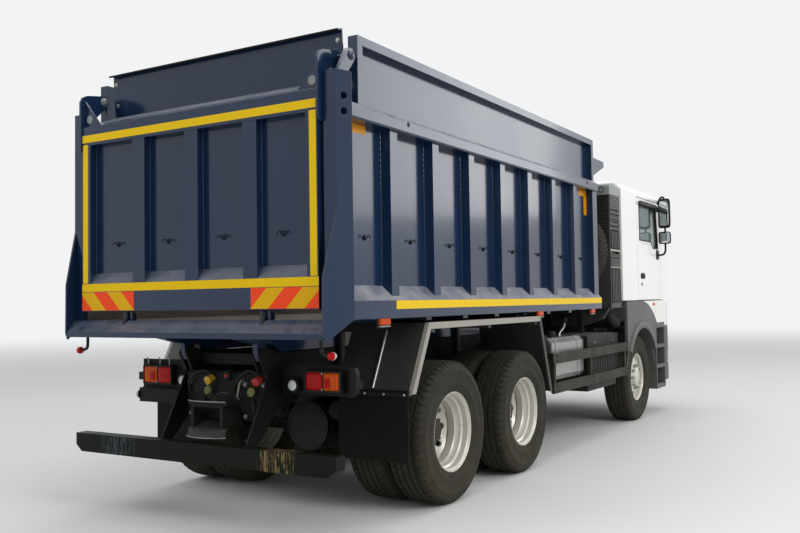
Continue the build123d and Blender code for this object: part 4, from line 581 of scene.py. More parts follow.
def tyre(centre, notches=58):
    """r(t, s) = section(s) - groove(t, s): section is the profile, grooves zigzag by a triangle wave."""
    side = np.array([
        (292, 118), (300, 134), (318, 141), (352, 149), (356, 151.5), (372, 153), (376, 152), (410, 156),
        (448, 155), (452, 157), (470, 156), (474, 153), (500, 146), (514, 139), (523, 131)])
    rows, depth = [], 13.0
    grooves = (-78.0, -27.0, 27.0, 78.0)
    crown = lambda y: TYRE_RADIUS - 5.0 * (abs(y) / 118.0) ** 2.2
    for y, r in ((-118.0, crown(118)), (-96.0, crown(96))):
        rows.append((r, y, 0.0, 1.0))
    for middle in grooves:
        for offset, cut in ((-8, 0), (-5.5, depth), (5.5, depth), (8, 0)):
            y = middle + offset
            rows.append((crown(y) - cut, y, 1.0, 0.0))
        if middle < 60:
            rows.append((crown(middle + 25), middle + 25.5, 0.0, 0.0))
    rows += [(crown(96), 96.0, 0.0, 1.0), (crown(118), 118.0, 0.0, 1.0)]
    left = np.c_[side, np.zeros(len(side)), np.zeros(len(side))]
    left[-3:, 3] = (0.25, 0.7, 1.0)
    right = left[::-1].copy()
    lower = left.copy()
    lower[:, 1] *= -1
    section = np.concatenate([lower, np.array(rows), right])
    step = 2 * np.pi / notches
    base = np.arange(notches)[:, None] * step
    t = (base + step * np.array([0.0, 0.3, 0.36, 0.62, 0.68, 0.98])).reshape(-1)
    notch = np.tile([0.0, 0.0, 1.0, 1.0, 0.0, 0.0], notches)
    zigzag = np.tile([-1.0, 0.2, 0.4, 1.0, 0.8, -0.9], notches) * 5.0
    radius = section[None, :, 0] - notch[:, None] * section[None, :, 3] * 9.0
    y = section[None, :, 1] + zigzag[:, None] * section[None, :, 2]
    x, z = radius * np.cos(t)[:, None], radius * np.sin(t)[:, None]
    outer = np.stack([x, y, z], -1) + np.asarray(centre, float)
    bore = outer[:, ::-1].copy()[:, :: outer.shape[1] - 1]
    return [sheet_faces(outer, close_u=True), sheet_faces(bore, close_u=True)]


for name, s in SIDES:
    for axle in ("rear", "middle"):
        twins = [chunk for row in ("outer", "inner")
                 for chunk in tyre((AXLES[axle], s * WHEEL_Y[row], TYRE_RADIUS))]
        piece(f"tread_{axle}_{name}", twins, rubber, f"{axle}_wheel_{name}",
              stands_for=[f"{axle}_tyres_{name}"])
    front = tyre((AXLES["front"], s * WHEEL_Y["front"], TYRE_RADIUS))
    piece(f"tread_front_{name}", front, rubber, f"front_wheel_{name}", stands_for=[f"front_tyre_{name}"])
SPARE = np.array([3668.0, -712.0, 2075.0])
quarter = np.array([[0, 1, 0], [-1, 0, 0], [0, 0, 1.0]])
spare_chunks = [(points @ quarter + SPARE, faces) for points, faces in tyre((0, 0, 0))]
piece("tread_spare", spare_chunks, rubber, stands_for=["spare_tyre"])
print("tyres made, faces in one:", len(spare_chunks[0][1]))

# %% [markdown]
# ## Wheels
#
# A disc wheel is a rolled rim with a pressed disc welded in. The rim is a lathe profile. The disc has
# round hand holes: each hole gets its own patch, whose points run from the hole's edge out to the
# borders of its sector, so the holes are truly round and open. Solidify gives the disc its wall.

# %% Wheel surfaces


def holed_disc(centre, face, count, hole, middle, inner, outer, height, fine=40):
    """One patch a hole: p = edge + (border - edge) * s in (arc, radius), then wrapped round the axle.
    height(radius) is how far the disc stands out along the axle."""
    half = np.pi / count * middle  # half the sector's width at the ring of holes
    corners = [np.arctan2(r - middle, a) for a in (half, -half) for r in (inner, outer)]
    phi = np.sort(np.mod(np.r_[np.linspace(0, 2 * np.pi, fine, endpoint=False), corners], 2 * np.pi))
    c, s = np.cos(phi), np.where(abs(np.sin(phi)) < 1e-9, 1e-9, np.sin(phi))
    reach = np.minimum(half / np.maximum(abs(c), 1e-9), np.where(s > 0, outer - middle, inner - middle) / s)
    share = np.linspace(0, 1, 5)[:, None]
    length = hole + (reach - hole) * share
    arc, radius = length * c, middle + length * s
    chunks = []
    for k in range(count):
        angle = arc / middle + 2 * np.pi * k / count
        x, z = radius * np.cos(angle), radius * np.sin(angle)
        y = face * height(radius)
        points = np.stack([x, y + 0 * x, z], -1) + np.asarray(centre, float)
        chunks.append(sheet_faces(points, close_v=True))
    return chunks


def rim_profile(face, outer_edge, inner_edge):
    """Closed section of a rolled rim, as (radius, along): lips, bead seats, well and the wall's inside."""
    mid = (outer_edge + inner_edge) / 2
    width = abs(outer_edge - inner_edge) / 2
    top = [(300, 1.0), (304, 0.98), (304, 0.93), (293, 0.88), (291, 0.6), (272, 0.42), (264, 0.1),
           (270, -0.3), (291, -0.6), (293, -0.88), (304, -0.93), (304, -0.98), (300, -1.0)]
    low = [(296, -0.97), (286, -0.9), (283, -0.62), (262, -0.34), (246, -0.3), (246, 0.1), (258, 0.2),
           (262, 0.46), (277, 0.54), (281, 0.84), (288, 0.88), (290, 0.93), (297, 1.0)]
    return [(r, mid + face * width * share) for r, share in [*top, *low, top[0]]]


def wheel(centre_x, face, outer_edge, inner_edge):
    """A rim's lathe about the axle line."""
    return turned(rim_profile(face, outer_edge, inner_edge), (centre_x, 0, TYRE_RADIUS), (0, 1, 0), 96)


def nuts(x, y, face, around, count, size=30.0, height=24.0):
    """Nuts on a ring about the axle, with the studs' ends standing out of them."""
    t = np.arange(count) / count * 2 * np.pi
    where = np.stack([x + around * np.cos(t), np.full(count, y), TYRE_RADIUS + around * np.sin(t)], -1)
    studs = [(p, p + np.array([0, face * (height + 16), 0])) for p in where]
    return heads(where, (0, face, 0), size, height) + rods(studs, 10.5, 10)


def pressed(name, chunks, body, wall_m, offset):
    """A pressed disc: Solidify gives the sheet its wall."""
    wall = piece(name, chunks, silver, body).modifiers.new("disc_wall", "SOLIDIFY")
    wall.thickness = wall_m
    wall.offset = offset


print("wheel surfaces ready")

# %% [markdown]
# ## Fitting the wheels
#
# The front disc bulges outwards. The twin discs are dished inwards, and the rear hubs stand out of them
# with a ring of small bolts.

# %% Front wheels
front_disc = lambda r: 1134 - 26 * np.clip((r - 165) / 90, 0, 1) ** 1.5
front_cap = [(0, 1176), (44, 1176), (60, 1171), (98, 1168), (112, 1160), (122, 1134), (160, 1132)]
for name, s in SIDES:
    x, wheel_body = AXLES["front"], f"front_wheel_{name}"
    axle_at = (x, 0, TYRE_RADIUS)
    hub = turned(front_cap, axle_at, (0, s, 0), 64)
    pressed(f"front_disc_{name}", [*holed_disc(axle_at, s, 10, 24, 216, 150, 262, front_disc), hub],
            wheel_body, 0.011, -1)
    piece(f"front_rim_ring_{name}", [wheel(x, s, s * 1160, s * 910)], silver, wheel_body,
          stands_for=[f"front_rim_{name}"])
    piece(f"front_nuts_{name}", nuts(x, s * 1134, s, 143, 10), galvanised, wheel_body, "wheel_silver")
print("front wheels:", len(SIDES))

# %% Twin wheels
rear_disc = lambda r: 943 + 104 * np.clip((r - 172) / 88, 0, 1) ** 1.25
rear_hub = [(0, 1092), (46, 1092), (88, 1084), (92, 1058), (108, 1052), (112, 1010), (124, 960), (124, 935),
            (150, 925), (190, 905), (200, 860), (200, 800), (0, 800)]
for axle in ("rear", "middle"):
    for name, s in SIDES:
        x, wheel_body = AXLES[axle], f"{axle}_wheel_{name}"
        axle_at = (x, 0, TYRE_RADIUS)
        collar = turned([(100, 943), (134, 943)], axle_at, (0, s, 0), 64)
        pressed(f"{axle}_disc_{name}", [*holed_disc(axle_at, s, 10, 26, 214, 128, 262, rear_disc), collar],
                wheel_body, 0.012, 0)
        rims = [wheel(x, s, s * 1236, s * 962), wheel(x, -s, s * 622, s * 880)]
        piece(f"{axle}_rim_rings_{name}", rims, silver, wheel_body, stands_for=[f"{axle}_rims_{name}"])
        dark = turned(rear_hub, axle_at, (0, s, 0), 48)
        flange = nuts(x, s * 1056, s, 99, 8, 16, 10)
        piece(f"{axle}_hub_{name}", [dark, *flange], dark_hub, wheel_body)
        piece(f"{axle}_nuts_{name}", nuts(x, s * 949, s, 160, 10), galvanised, wheel_body, "wheel_silver")
print("twin wheels:", 2 * len(SIDES))

# %% [markdown]
# ## Four more surfaces
#
# Small parts repeat a few shapes. Lenses, pads and caps are moulded with a domed face on a rounded
# outline. Rings are bent wire. Window rubbers and seams follow an outline at a constant width. Scuffs are
# not a shape at all: they are a worn shade laid over the finish in one place.

# %% Pillows, rings, frames and scuffs


def bend(k, power):
    """|k| raised to a power, with the sign of k."""
    return np.sign(k) * abs(k) ** power


def pillow(centre, u, v, half_u, half_v, depth, back=3.0, power=5.0, steps=40):
    """Outline: a superellipse, a |cos t|^(2/q) along u and b |sin t|^(2/q) along v. The face stands out
    along u x v by depth (1 - s^3)^0.5 at the share s of the way to the outline."""
    u, v = np.asarray(u, float), np.asarray(v, float)
    t = np.arange(steps) / steps * 2 * np.pi
    rim_u, rim_v = bend(np.cos(t), 2 / power) * half_u, bend(np.sin(t), 2 / power) * half_v
    rim = rim_u[:, None] * u + rim_v[:, None] * v
    share = np.array([0, 0.35, 0.6, 0.8, 0.92, 0.98, 1.0])
    rise = np.r_[depth * np.sqrt(1 - share**3), -back, -back]
    share = np.r_[share, 1.0, 0.0]
    points = np.asarray(centre, float) + share[:, None, None] * rim + rise[:, None, None] * np.cross(u, v)
    return sheet_faces(points, close_v=True)


def ring(centre, direction, radius, wire, steps=48):
    """A torus: the wire's circle of radius r is carried round the axis at radius R."""
    b = np.linspace(0, 2 * np.pi, 11)
    return turned(np.c_[radius + wire * np.cos(b), wire * np.sin(b)], centre, direction, steps)


def framed(outline, width, place):
    """A flat frame along an outline, its inner edge moved in by the width on mitred corners:
    shift = 2 w (n1 + n2) / |n1 + n2|^2, with n1 and n2 the normals of the two edges."""
    outline = np.asarray(outline, float)
    ahead = np.roll(outline, -1, 0) - outline
    ahead /= np.linalg.norm(ahead, axis=1)[:, None]
    square = np.c_[-ahead[:, 1], ahead[:, 0]]
    both = square + np.roll(square, 1, 0)
    inner = outline + 2 * width * both / (both**2).sum(1)[:, None]
    loops = [place(outline, 0.0), place(outline, 1.0), place(inner, 1.0), place(inner, 0.0)]
    return sheet_faces(np.stack(loops), close_u=True, close_v=True)


def scuff(material, shade, middle, reach, stretch, level=0.5):
    """Mixes a shade in where window(|(p - middle) / reach|) times a streaky noise is high. Metres."""
    tree, place, shader = parts(material)
    away = add(tree, "ShaderNodeVectorMath", {0: (place, "Object"), 1: middle}, operation="SUBTRACT")
    scaled = add(tree, "ShaderNodeVectorMath", {0: (away, 0), 1: reach}, operation="DIVIDE")
    far = add(tree, "ShaderNodeVectorMath", {0: (scaled, 0)}, operation="LENGTH")
    window = add(tree, "ShaderNodeMapRange",
                 {"Value": (far, "Value"), "From Min": 0.55, "From Max": 1.0, "To Min": 1.0, "To Max": 0.0})
    where = add(tree, "ShaderNodeMapping", {"Vector": (place, "Object"), "Scale": stretch})
    streak = add(tree, "ShaderNodeTexNoise", {"Vector": (where, 0), "Scale": 30.0, "Detail": 6.0,
                                              "Roughness": 0.7})
    cut = add(tree, "ShaderNodeMapRange",
              {"Value": (streak, "Fac"), "From Min": level - 0.06, "From Max": level + 0.06})
    share = add(tree, "ShaderNodeMath", {0: (window, 0), 1: (cut, 0)}, operation="MULTIPLY", use_clamp=True)
    lay_over(tree, shader, (share, 0), linear(shade))


print("pillows, rings, frames and scuffs ready")

# %% [markdown]
# ## Reflective film and marker boards
#
# The film is laid on the flat faces of the gate's frame, along the sills and in the corners of the first
# and last bays. It is 1.2 mm thick, so it stands just proud. The marker boards are aluminium sheets with
# printed slanted stripes that rise towards the middle of the truck.

# %% Film and boards
FILM = 1.2
GATE_X, GATE_PANEL_X = -1509.0, -1449.0
PANEL_Y, SILL_Y = 1163.0, 1265.0
gate_film = [(-1105, 1105, 2762, 2818), (-1105, 1105, 1636, 1694), (1041, 1095, 1699, 2746),
             (-1095, -1041, 1699, 2746)]
piece("gate_film", [boxes([(GATE_X - FILM, GATE_X, *row) for row in gate_film])], yellow_tape, "tailgate_body")
boards = [(GATE_X - 1.6, GATE_X, s * 550, s * 1105, 1495, 1632) for _, s in SIDES]
piece("marker_boards", [boxes(boards)], board_stripes, "tailgate_body", bevel=0.6)
# inverted L shapes: a level strip under the waist rail and a leg beside the post
corners = [(-1345, -1050, 2645, 2703), (-1345, -1285, 2440, 2645), (3075, 3331, 2640, 2703),
           (3245, 3331, 2440, 2640)]
for name, s in SIDES:
    sill = [(-846, 3472, s * SILL_Y, s * (SILL_Y + FILM), 1479, 1537)]
    piece(f"sill_film_{name}", [boxes(sill)], yellow_tape, "tipping_body")
    rows = [(x0, x1, s * PANEL_Y, s * (PANEL_Y + FILM), z0, z1) for x0, x1, z0, z1 in corners]
    piece(f"corner_film_{name}", [boxes(rows)], orange_tape, "tipping_body")
print("film pieces:", len(gate_film) + 2 * (1 + len(corners)), "boards:", len(boards))

# %% [markdown]
# ## Seams and fittings of the gate and the sides
#
# The ribs are welded to the panels by hand, which leaves a rippled bead in each corner. The spill plate
# has a folded flange, painted black as painted shade for its underside, and bolts at its upper corners.
# Each gusset has a pale disc, painted light for the lit plate seen through its hole. The hinge pins carry
# nuts and caps, and the gate's two latches end in black claws over the lip.

# %% Welds, shaded flange, bolts, lit holes and claws
PIN_X, PIN_Z = -1300.0, 3120.0
bead_y = [y + s * 61 for y in (504, -16, -543) for s in (1, -1)] + [1015, -1015]
gate_beads = [pipe([(GATE_PANEL_X, y, 1782), (GATE_PANEL_X, y, 2738)], 5.0, 6, 0, 1.3, 24.0) for y in bead_y]
piece("gate_welds", gate_beads, navy, "tailgate_body", smooth=60)
rib_edges = [x + d for x in np.arange(7) * 598.0 - 804.5 for d in (-62.5, 62.5)]
waist_eye = [(0, 0.3), (12, 0.4), (13, 1.4), (17, 1.4), (17, -1)]
for name, s in SIDES:
    y = s * (PANEL_Y + 1)
    beads = [pipe([(x, y, 1642), (x, y, 2700)], 4.5, 5, 0, 1.2, 40.0) for x in rib_edges]
    piece(f"rib_welds_{name}", beads, navy, "tipping_body", smooth=60)
    eyes = [turned(waist_eye, (x, s * SILL_Y, 2770), (0, s, 0), 20) for x in (-652, 3086)]
    piece(f"waist_eyes_{name}", eyes, black_paint, "tipping_body", "body_paint")
# the folded flange is black as painted shade: its underside lies in shadow
spill_fold = [(-1217.5, 3329), (-1257.5, 3317), (-1262, 3318), (-1264, 3328.6), (-1259.6, 3329),
              (-1257, 3318.4), (-1217, 3330)]
piece("spill_flange_painted_shade", [plate(spill_fold, -1098, 1098, "Y")], black_paint, "tailgate_body")
spill_at = [(x, s * 1063, z) for x, z in ((-1212.8, 3266), (-1201.4, 3100)) for _, s in SIDES]
gate_bolts = heads(spill_at, (-1, 0, -0.07), 22, 11)
for _, s in SIDES:
    gate_bolts += heads([(PIN_X, s * 1104, PIN_Z)], (0, -s, 0), 46, 24)
piece("gate_bolts", gate_bolts, galvanised, "tailgate_body")
# each gusset's eye is a pale disc: painted light for the lit plate seen through the hole
gusset_lit_hole_disc = [(0, 0.4), (23, 0.5), (25, 2.4), (31, 2.4), (32, -1)]
gusset_lit_hole_discs = [turned(gusset_lit_hole_disc, (-1484, s * 1050, 2944), REAR, 28) for _, s in SIDES]
piece("gusset_lit_hole_discs", gusset_lit_hole_discs, cap_grey, "tailgate_body", "chassis_paint")
pin_cap = [(0, 16), (14, 16), (22, 12), (30, 4), (34, 0), (34, -4)]
pin_caps = [turned(pin_cap, (PIN_X, s * 1228, PIN_Z), (0, s, 0), 28) for _, s in SIDES]
piece("hinge_pin_caps", pin_caps, navy, "tailgate_body")
claw_line = [(-1448, 1484), (-1460, 1450), (-1486, 1416), (-1512, 1388), (-1528, 1378), (-1524, 1394),
             (-1508, 1420), (-1492, 1450), (-1486, 1484)]
claws = [plate(claw_line, s * 645 - 13, s * 645 + 13, "Y") for _, s in SIDES]
piece("latch_claws", claws, black_paint, "tipping_body", bevel=3.0)
print("weld beads:", len(gate_beads) + 2 * len(rib_edges))

# %% [markdown]
# ## Rope hooks and side lamps
#
# Every bay has a rope hook bent like a ram's horns. Amber side lamps with a pale reflex strip hang below
# the sills, and two short arms under the lip's ends hold the outline lamps, red behind and white ahead.

# %% Rope hooks


def horns(place):
    """A rope hook: one rod bent like a ram's horns with its V on the plate. The half line (across, up, out)
    is mirrored across, and place(line) turns it into x, y, z."""
    half = np.array([(0, -20, 3), (8, -4, 10), (19, 15, 16), (33, 15, 19), (45, -5, 17)], float)
    return pipe(place(np.concatenate([half[:0:-1] * (-1, 1, 1), half])), 4, 8, 3)


gate_hooks = [horns(lambda line: np.c_[GATE_PANEL_X - line[:, 2], y + line[:, 0], 1984 + line[:, 1]])
              for y in (773, 260, -265, -784)]
piece("rope_hooks_gate", gate_hooks, black_paint, "tailgate_body", smooth=60)
for name, s in SIDES:
    hooks = [horns(lambda line: np.c_[x + line[:, 0], s * (PANEL_Y + line[:, 2]), 1957 + line[:, 1]])
             for x in np.arange(8) * 600.0 - 1076]
    piece(f"rope_hooks_{name}", hooks, black_paint, "tipping_body", smooth=60)
print("rope hooks:", len(gate_hooks) + 2 * len(hooks))

# %% Outline lamps and side lamps
ARM_X = -1472.0
stalk = np.array([(ARM_X, 1090, 1320), (ARM_X, 1090, 1222), (ARM_X, 1110, 1205), (ARM_X, 1152, 1198)])
piece("outline_lamp_arms", [pipe(stalk * (1, s, 1), 11, 12) for _, s in SIDES], black_plastic, "tipping_body")
dome = [(0, 24), (14, 22), (23, 15), (27, 0), (0, 0)]
for name, s in SIDES:
    for end, way, dye in (("rear", -1, red_lens), ("front", 1, white_lens)):
        chunk = turned(dome, (ARM_X + 4 * way, s * 1172, 1196), (way, 0, 0), 28)
        piece(f"outline_lamp_{end}_{name}", [chunk], dye, "tipping_body")
side_lamps = ((-1046, -910), (1670, 1800), (3140, 3270))


def slabs(inset, y0, y1, z0, z1):
    """One box at each side lamp's place, on both sides of the body."""
    return boxes([(x0 + inset, x1 - inset, s * y0, s * y1, z0, z1) for x0, x1 in side_lamps for _, s in SIDES])


piece("side_lens", [slabs(6, 1236, 1263, 1376, 1420)], amber_lens, "tipping_body", bevel=5.0,
      stands_for=["side_lamps"])
piece("side_reflex", [slabs(6, 1236, 1263, 1361, 1371)], cap_grey, "tipping_body", "lamp_glass", bevel=5.0)
piece("side_lamp_backs", [slabs(0, 1226, 1240, 1354, 1422)], black_plastic, "tipping_body", bevel=2.0)
print("side lamps:", 2 * len(side_lamps))

# %% [markdown]
# ## Tail lamps and their carriers
#
# Each cluster is a black moulded tray with a red lens towards the middle and an amber one outside, held
# by screws. A round reversing lamp sits inside it. The left carrier plate also holds a small reflector
# and a black box for the plate below, which is bare here; the right one ends in a rounded cheek. The
# underrun bar under them is scuffed in two places.

# %% Lamps at the rear
LAMP_X, CARRIER_X = -1055.0, -1006.0
left_plate = [(404, 1108), (1002, 1108), (1002, 890), (1008, 888), (1008, 770), (445, 770), (445, 888),
              (404, 888)]
right_plate = [(-404, 1100), (-1016, 1100), (-1044, 1090), (-1060, 1066), (-1063, 1030), (-1063, 950),
               (-1058, 918), (-1040, 896), (-1012, 888), (-404, 888)]
cheek = [(y, z) for y, z in right_plate if y < -1000] + [(-1010, 888), (-1010, 1100)]
carriers = [plate(left_plate, CARRIER_X, -1000, "X"), plate(right_plate, CARRIER_X, -1000, "X"),
            plate(cheek, -1050, CARRIER_X, "X"), boxes([(-1046, CARRIER_X, 450, 1004, 774, 884)])]
piece("lamp_carriers", carriers, black_paint, bevel=2.5)
studs = [((x, y, z0), (x, y, z1)) for x, z0, z1 in ((-1030, 1108, 1122), (-1020, 1062, 1110))
         for y in (700, 800, 930)]
piece("carrier_studs", rods(studs, 5, 8), galvanised)
for name, s in SIDES:
    for kind, y, dye in (("stop_lens", 718, red_lens), ("turn_lens", 866, amber_lens)):
        chunk = pillow((LAMP_X, s * y, 990), RIGHT, UP, 69, 62, 13, 4, 9)
        piece(f"{kind}_{name}", [chunk], dye)
    inset = pillow((LAMP_X - 12, s * 838, 982), RIGHT, UP, 26, 34, 3.5, 2, 8)
    piece(f"fog_inset_{name}", [inset], red_lens)
    tray_line = [(s * y, z) for y, z in ((638, 918), (944, 918), (944, 1062), (638, 1062))][::s]
    tray = framed(tray_line, 11, lambda flat, level: np.c_[np.full(4, LAMP_X + 4 - 14 * level), flat])
    piece(f"lamp_tray_{name}", [tray], black_plastic, bevel=1.5)
    screws = heads([(LAMP_X - 9, s * 792, z) for z in (935, 1045)], REAR, 9, 5)
    piece(f"lamp_screws_{name}", screws, galvanised)
    bulb_at = (LAMP_X, s * 530, 955)
    bowl = turned([(0, 15), (18, 14), (31, 9), (37, 1), (37, -3)], bulb_at, REAR, 36)
    piece(f"reversing_lens_{name}", [bowl], white_lens)
    collar = turned([(37, 2), (39, 6), (47, 5), (50, -2), (50, -8), (37, -8)], bulb_at, REAR, 36)
    piece(f"reversing_collar_{name}", [collar], black_plastic)
piece("rear_reflector", [pillow((-1007, 502, 1072), RIGHT, UP, 56, 27, 6, 3, 8)], red_lens)
end_lamp = [(0, 38), (16, 36), (29, 26), (34, 10), (38, 8), (38, -2)]
piece("box_end_lamp", [turned(end_lamp, (-1028, 1004, 832), LEFT, 28)], aluminium, slot="lamp_glass")
for shade, middle, reach in (("#8d7a52", -0.73, 0.17), ("#46545b", 0.75, 0.2)):
    scuff(bar_green, shade, (AXLE_X - 1.487, middle, 0.51), (0.5, reach, 0.2), (0.5, 3.0, 0.35), 0.55)
print("studs on the carriers:", len(studs))

# %% [markdown]
# ## Coupling heads, hoses and the jaw's bell
#
# The air lines for a trailer end in two coupling heads, yellow for control and red for supply, with
# hinged dust caps. Their hoses come out of the frame in loops. The drawbar jaw has a cast bell that
# guides the drawbar's eye in: two flared lips, bright at the edges where eyes have rubbed the paint off.

# %% Couplings, hoses and socket
head_profile = [(0, -8), (17, -8), (17, 18), (13, 22), (13, 30), (27, 33), (27, 58), (20, 62), (20, 72),
                (31, 75), (31, 90), (22, 96), (0, 96)]
cap_profile = [(0, 9), (26, 9), (33, 3), (33, -7), (28, -10), (0, -10)]
for kind, y, hang, paint in (("yellow", 128, 8, yellow_paint), ("red", -320, 50, red_paint)):
    piece(f"coupling_{kind}", [turned(head_profile, (-1120, y, 1006), (-1, 0, -0.3), 24)], paint)
    cap = turned(cap_profile, (-1192, y + hang, 910), (-1, 0, 0.15), 24)
    piece(f"dust_cap_{kind}", [cap], cap_olive)
    lever = pipe([(-1160, y + hang, 985), (-1186, y + hang, 950), (-1190, y + hang, 918)], 4, 6)
    foot = boxes([(-1150, -1112, y - 24, y + 24, 985, 1027)])
    piece(f"coupling_bracket_{kind}", [lever, foot], black_paint, bevel=2)
BEAM_X = -1149
hose_rows = (
    # radius, path
    (10, [(-1135, 128, 1008), (-1175, 190, 1060), (-1190, 300, 1010), (-1170, 350, 930), (BEAM_X, 340, 870)]),
    (10, [(-1135, -320, 1008), (-1180, -250, 1070), (-1200, -190, 1030), (-1185, -120, 960),
          (BEAM_X, -90, 900)]),
    (9, [(BEAM_X, 200, 850), (-1200, 170, 800), (-1205, 240, 740), (BEAM_X, 300, 720)]),
    (9, [(BEAM_X, -250, 860), (-1190, -300, 800), (-1190, -290, 750), (BEAM_X, -270, 725)]),
)
piece("rear_hoses", [pipe(path, radius, 10, 4) for radius, path in hose_rows], black_plastic)
pale = [(BEAM_X, -165, 990), (-1185, -165, 985), (-1200, -160, 920), (-1192, -140, 868), (BEAM_X, -120, 850)]
piece("pale_hose", [pipe(pale, 7, 10, 4)], edge_grey)
SOCKET_AT = (-1152, -30, 1018)
socket = turned([(0, 30), (24, 30), (34, 24), (36, 0), (42, -4), (42, -14), (0, -14)], SOCKET_AT, REAR, 28)
piece("trailer_socket", [socket], black_plastic)
button = turned([(0, 40), (10, 40), (13, 34), (13, 22)], SOCKET_AT, REAR, 18)
piece("socket_button", [button], red_paint, slot="red_lens")
beam_bolts = heads([(-1150, y, z) for y in (-350, -180, 180, 350) for z in (730, 960)], REAR, 24, 13)
piece("rear_beam_bolts", beam_bolts, galvanised)
print("hoses:", len(hose_rows) + 1)

# %% Bell of the jaw


def lip(z, rise, reach, wall=9.0):
    """One lip of the bell: y = 178 sin a, x = -1338 - reach s cos a, z = z0 + rise s^1.6. Its back lies a
    wall further out, and both meet at the ends of the arc."""
    a = np.linspace(-1.5, 1.5, 29)[None, :]
    share = np.array([0, 0.25, 0.5, 0.75, 0.92, 1.0])[:, None]
    thick = np.sign(rise) * wall * np.clip((1.5 - abs(a)) * 6, 0, 1)
    x, y = -1338 - reach * share * np.cos(a), 178 * np.sin(a) + 0 * share
    height = z + rise * share**1.6 + 0 * a
    front, back = np.stack([x, y, height], -1), np.stack([x, y, height + thick], -1)[::-1]
    return sheet_faces(np.concatenate([front, back]), close_u=True)


piece("jaw_bell", [lip(826, 22, 50), lip(668, -56, 92)], cast, smooth=50)
arc = np.linspace(-1.45, 1.45, 15)
edges = [np.c_[-1340 - reach * np.cos(arc), 177 * np.sin(arc), np.full(15, z)]
         for reach, z in ((50, 853.0), (92, 607.0))]
piece("bell_worn_edge", [pipe(path, 5.0, 8, 1) for path in edges], worn_edge)
handle = pipe([(-1250, 0, 832), (-1250, 0, 880), (-1262, -60, 905), (-1280, -150, 905)], 9, 10)
cover = turned([(0, 26), (30, 26), (40, 18), (42, 0)], (-1250, 0, 830), UP, 28)
piece("jaw_lever", [handle, cover], cast)
print("rubbed edges:", len(edges))

# %% [markdown]
# ## Mudguards, flaps and side guards
#
# The cranked mudguards have a light grey rubber strip over their outer edge, from the rear foot up and
# along the top. Each flap hangs on four bolts under a clamping bar. The flat guard rails are bolted to
# their posts.

# %% Edge strips, flap bolts, guard bolts
strip_face = [(-640, 880), (-384, 1372), (1740, 1372), (1708, 1327), (-356.7, 1327), (-589.3, 880)]
strip_top = [(-642, 879), (-385.5, 1374.5), (1740, 1374.5), (1740, 1372), (-384, 1372), (-640, 878)]
GUARD_Y, STRIP_Y = 1255, 1257.5
for name, s in SIDES:
    strip = [plate(strip_face, s * GUARD_Y, s * STRIP_Y, "Y"), plate(strip_top, s * 1224, s * STRIP_Y, "Y")]
    piece(f"mudguard_strip_{name}", strip, edge_grey)
    bolts = heads([(-652, s * y, 876) for y in (700, 870, 1030, 1200)], REAR, 17, 9)
    piece(f"flap_bolts_{name}", bolts, galvanised)
    clamp = boxes([(-657, -652, s * 650, s * 1222, 862, 892)])
    piece(f"flap_clamp_{name}", [clamp], black_paint, bevel=1.5)
    rail_bolts = [(x + 25, s * 1250, z) for x in (2120, 3180, 4390) for z in (645, 695, 930, 980)]
    piece(f"guard_bolts_{name}", heads(rail_bolts, (0, s, 0), 14, 8), guard_green)
    struts = rods([((-638, s * 926, 912), (-425, s * 920, 1322))], 12, 12)
    piece(f"mudguard_struts_{name}", struts, galvanised)
print("bolts in each side guard:", len(rail_bolts))

# %% [markdown]
# ## Tanks, pipes and the air duct
#
# The fuel tank is folded from aluminium sheet, so it has seams near its ends, straps over rubber, a
# locking cap and a sender. A cranked pipe with a stop valve comes down beside it. The air that the tower
# takes in goes through a corrugated duct behind the front wheel, which can follow the tilting engine.

# %% Tank fittings and pipes
TANK_TOP = 1140


def band(outline, grow, x0, x1):
    """A strap: the outline scaled about its middle so that it stands out by a given growth."""
    flat = np.asarray(outline, float)
    middle = (flat.min(0) + flat.max(0)) / 2
    half = (flat.max(0) - flat.min(0)) / 2
    return plate(middle + (flat - middle) * (1 + grow / half), x0, x1, "X")


tank_line = [(-600, 720), (-1110, 720), (-1160, 770), (-1160, 1090), (-1110, TANK_TOP), (-600, TANK_TOP)]
box_line = [(600, 660), (1090, 660), (1150, 720), (1150, 1080), (1090, TANK_TOP), (600, TANK_TOP)]
strap_rows = ((tank_line, 2330), (tank_line, 2950), (box_line, 2330), (box_line, 2930))
piece("tank_straps", [band(line, 4.0, x, x + 55) for line, x in strap_rows], galvanised)
piece("tank_seams", [band(tank_line, 6.0, x, x + 9) for x in (2222, 3109)], aluminium)
cap = turned([(0, 66), (36, 66), (45, 60), (46, 30), (38, 26), (36, 0)], (2520, -1040, TANK_TOP), UP, 40)
piece("fuel_cap", [cap], black_plastic)
sender = [turned([(0, 12), (32, 12), (36, 8), (36, 0)], (2760, -900, TANK_TOP), UP, 28)]
sender_bolts = [(2760 + 24 * np.cos(a), -900 + 24 * np.sin(a), 1152) for a in np.arange(5) * 1.2566]
sender += heads(sender_bolts, UP, 7, 4)
piece("fuel_sender", sender, galvanised)
crank = [(3010, -1000, 1330), (3005, -1000, 1240), (2905, -1000, 1195), (2862, -1000, 1180),
         (2850, -1000, 1138)]
piece("crank_pipe", [pipe(crank, 16, 12, 3)], aluminium)
valve_line = [(0, 26), (16, 26), (30, 18), (30, -14), (20, -20), (20, -44), (0, -44)]
valve = [turned(valve_line, (3010, -1000, 1310), UP, 28), ring((3010, -1000, 1338), UP, 26, 5, 32)]
piece("stop_valve", valve, black_paint)
fuel_paths = (
    [(2760, -900, 1152), (2780, -880, 1200), (2860, -700, 1190), (2900, -420, 1120), (3300, -405, 1100),
     (4100, -405, 1096)],
    [(2740, -890, 1152), (2720, -840, 1190), (2700, -640, 1180), (2760, -420, 1100), (3300, -405, 1080)],
)
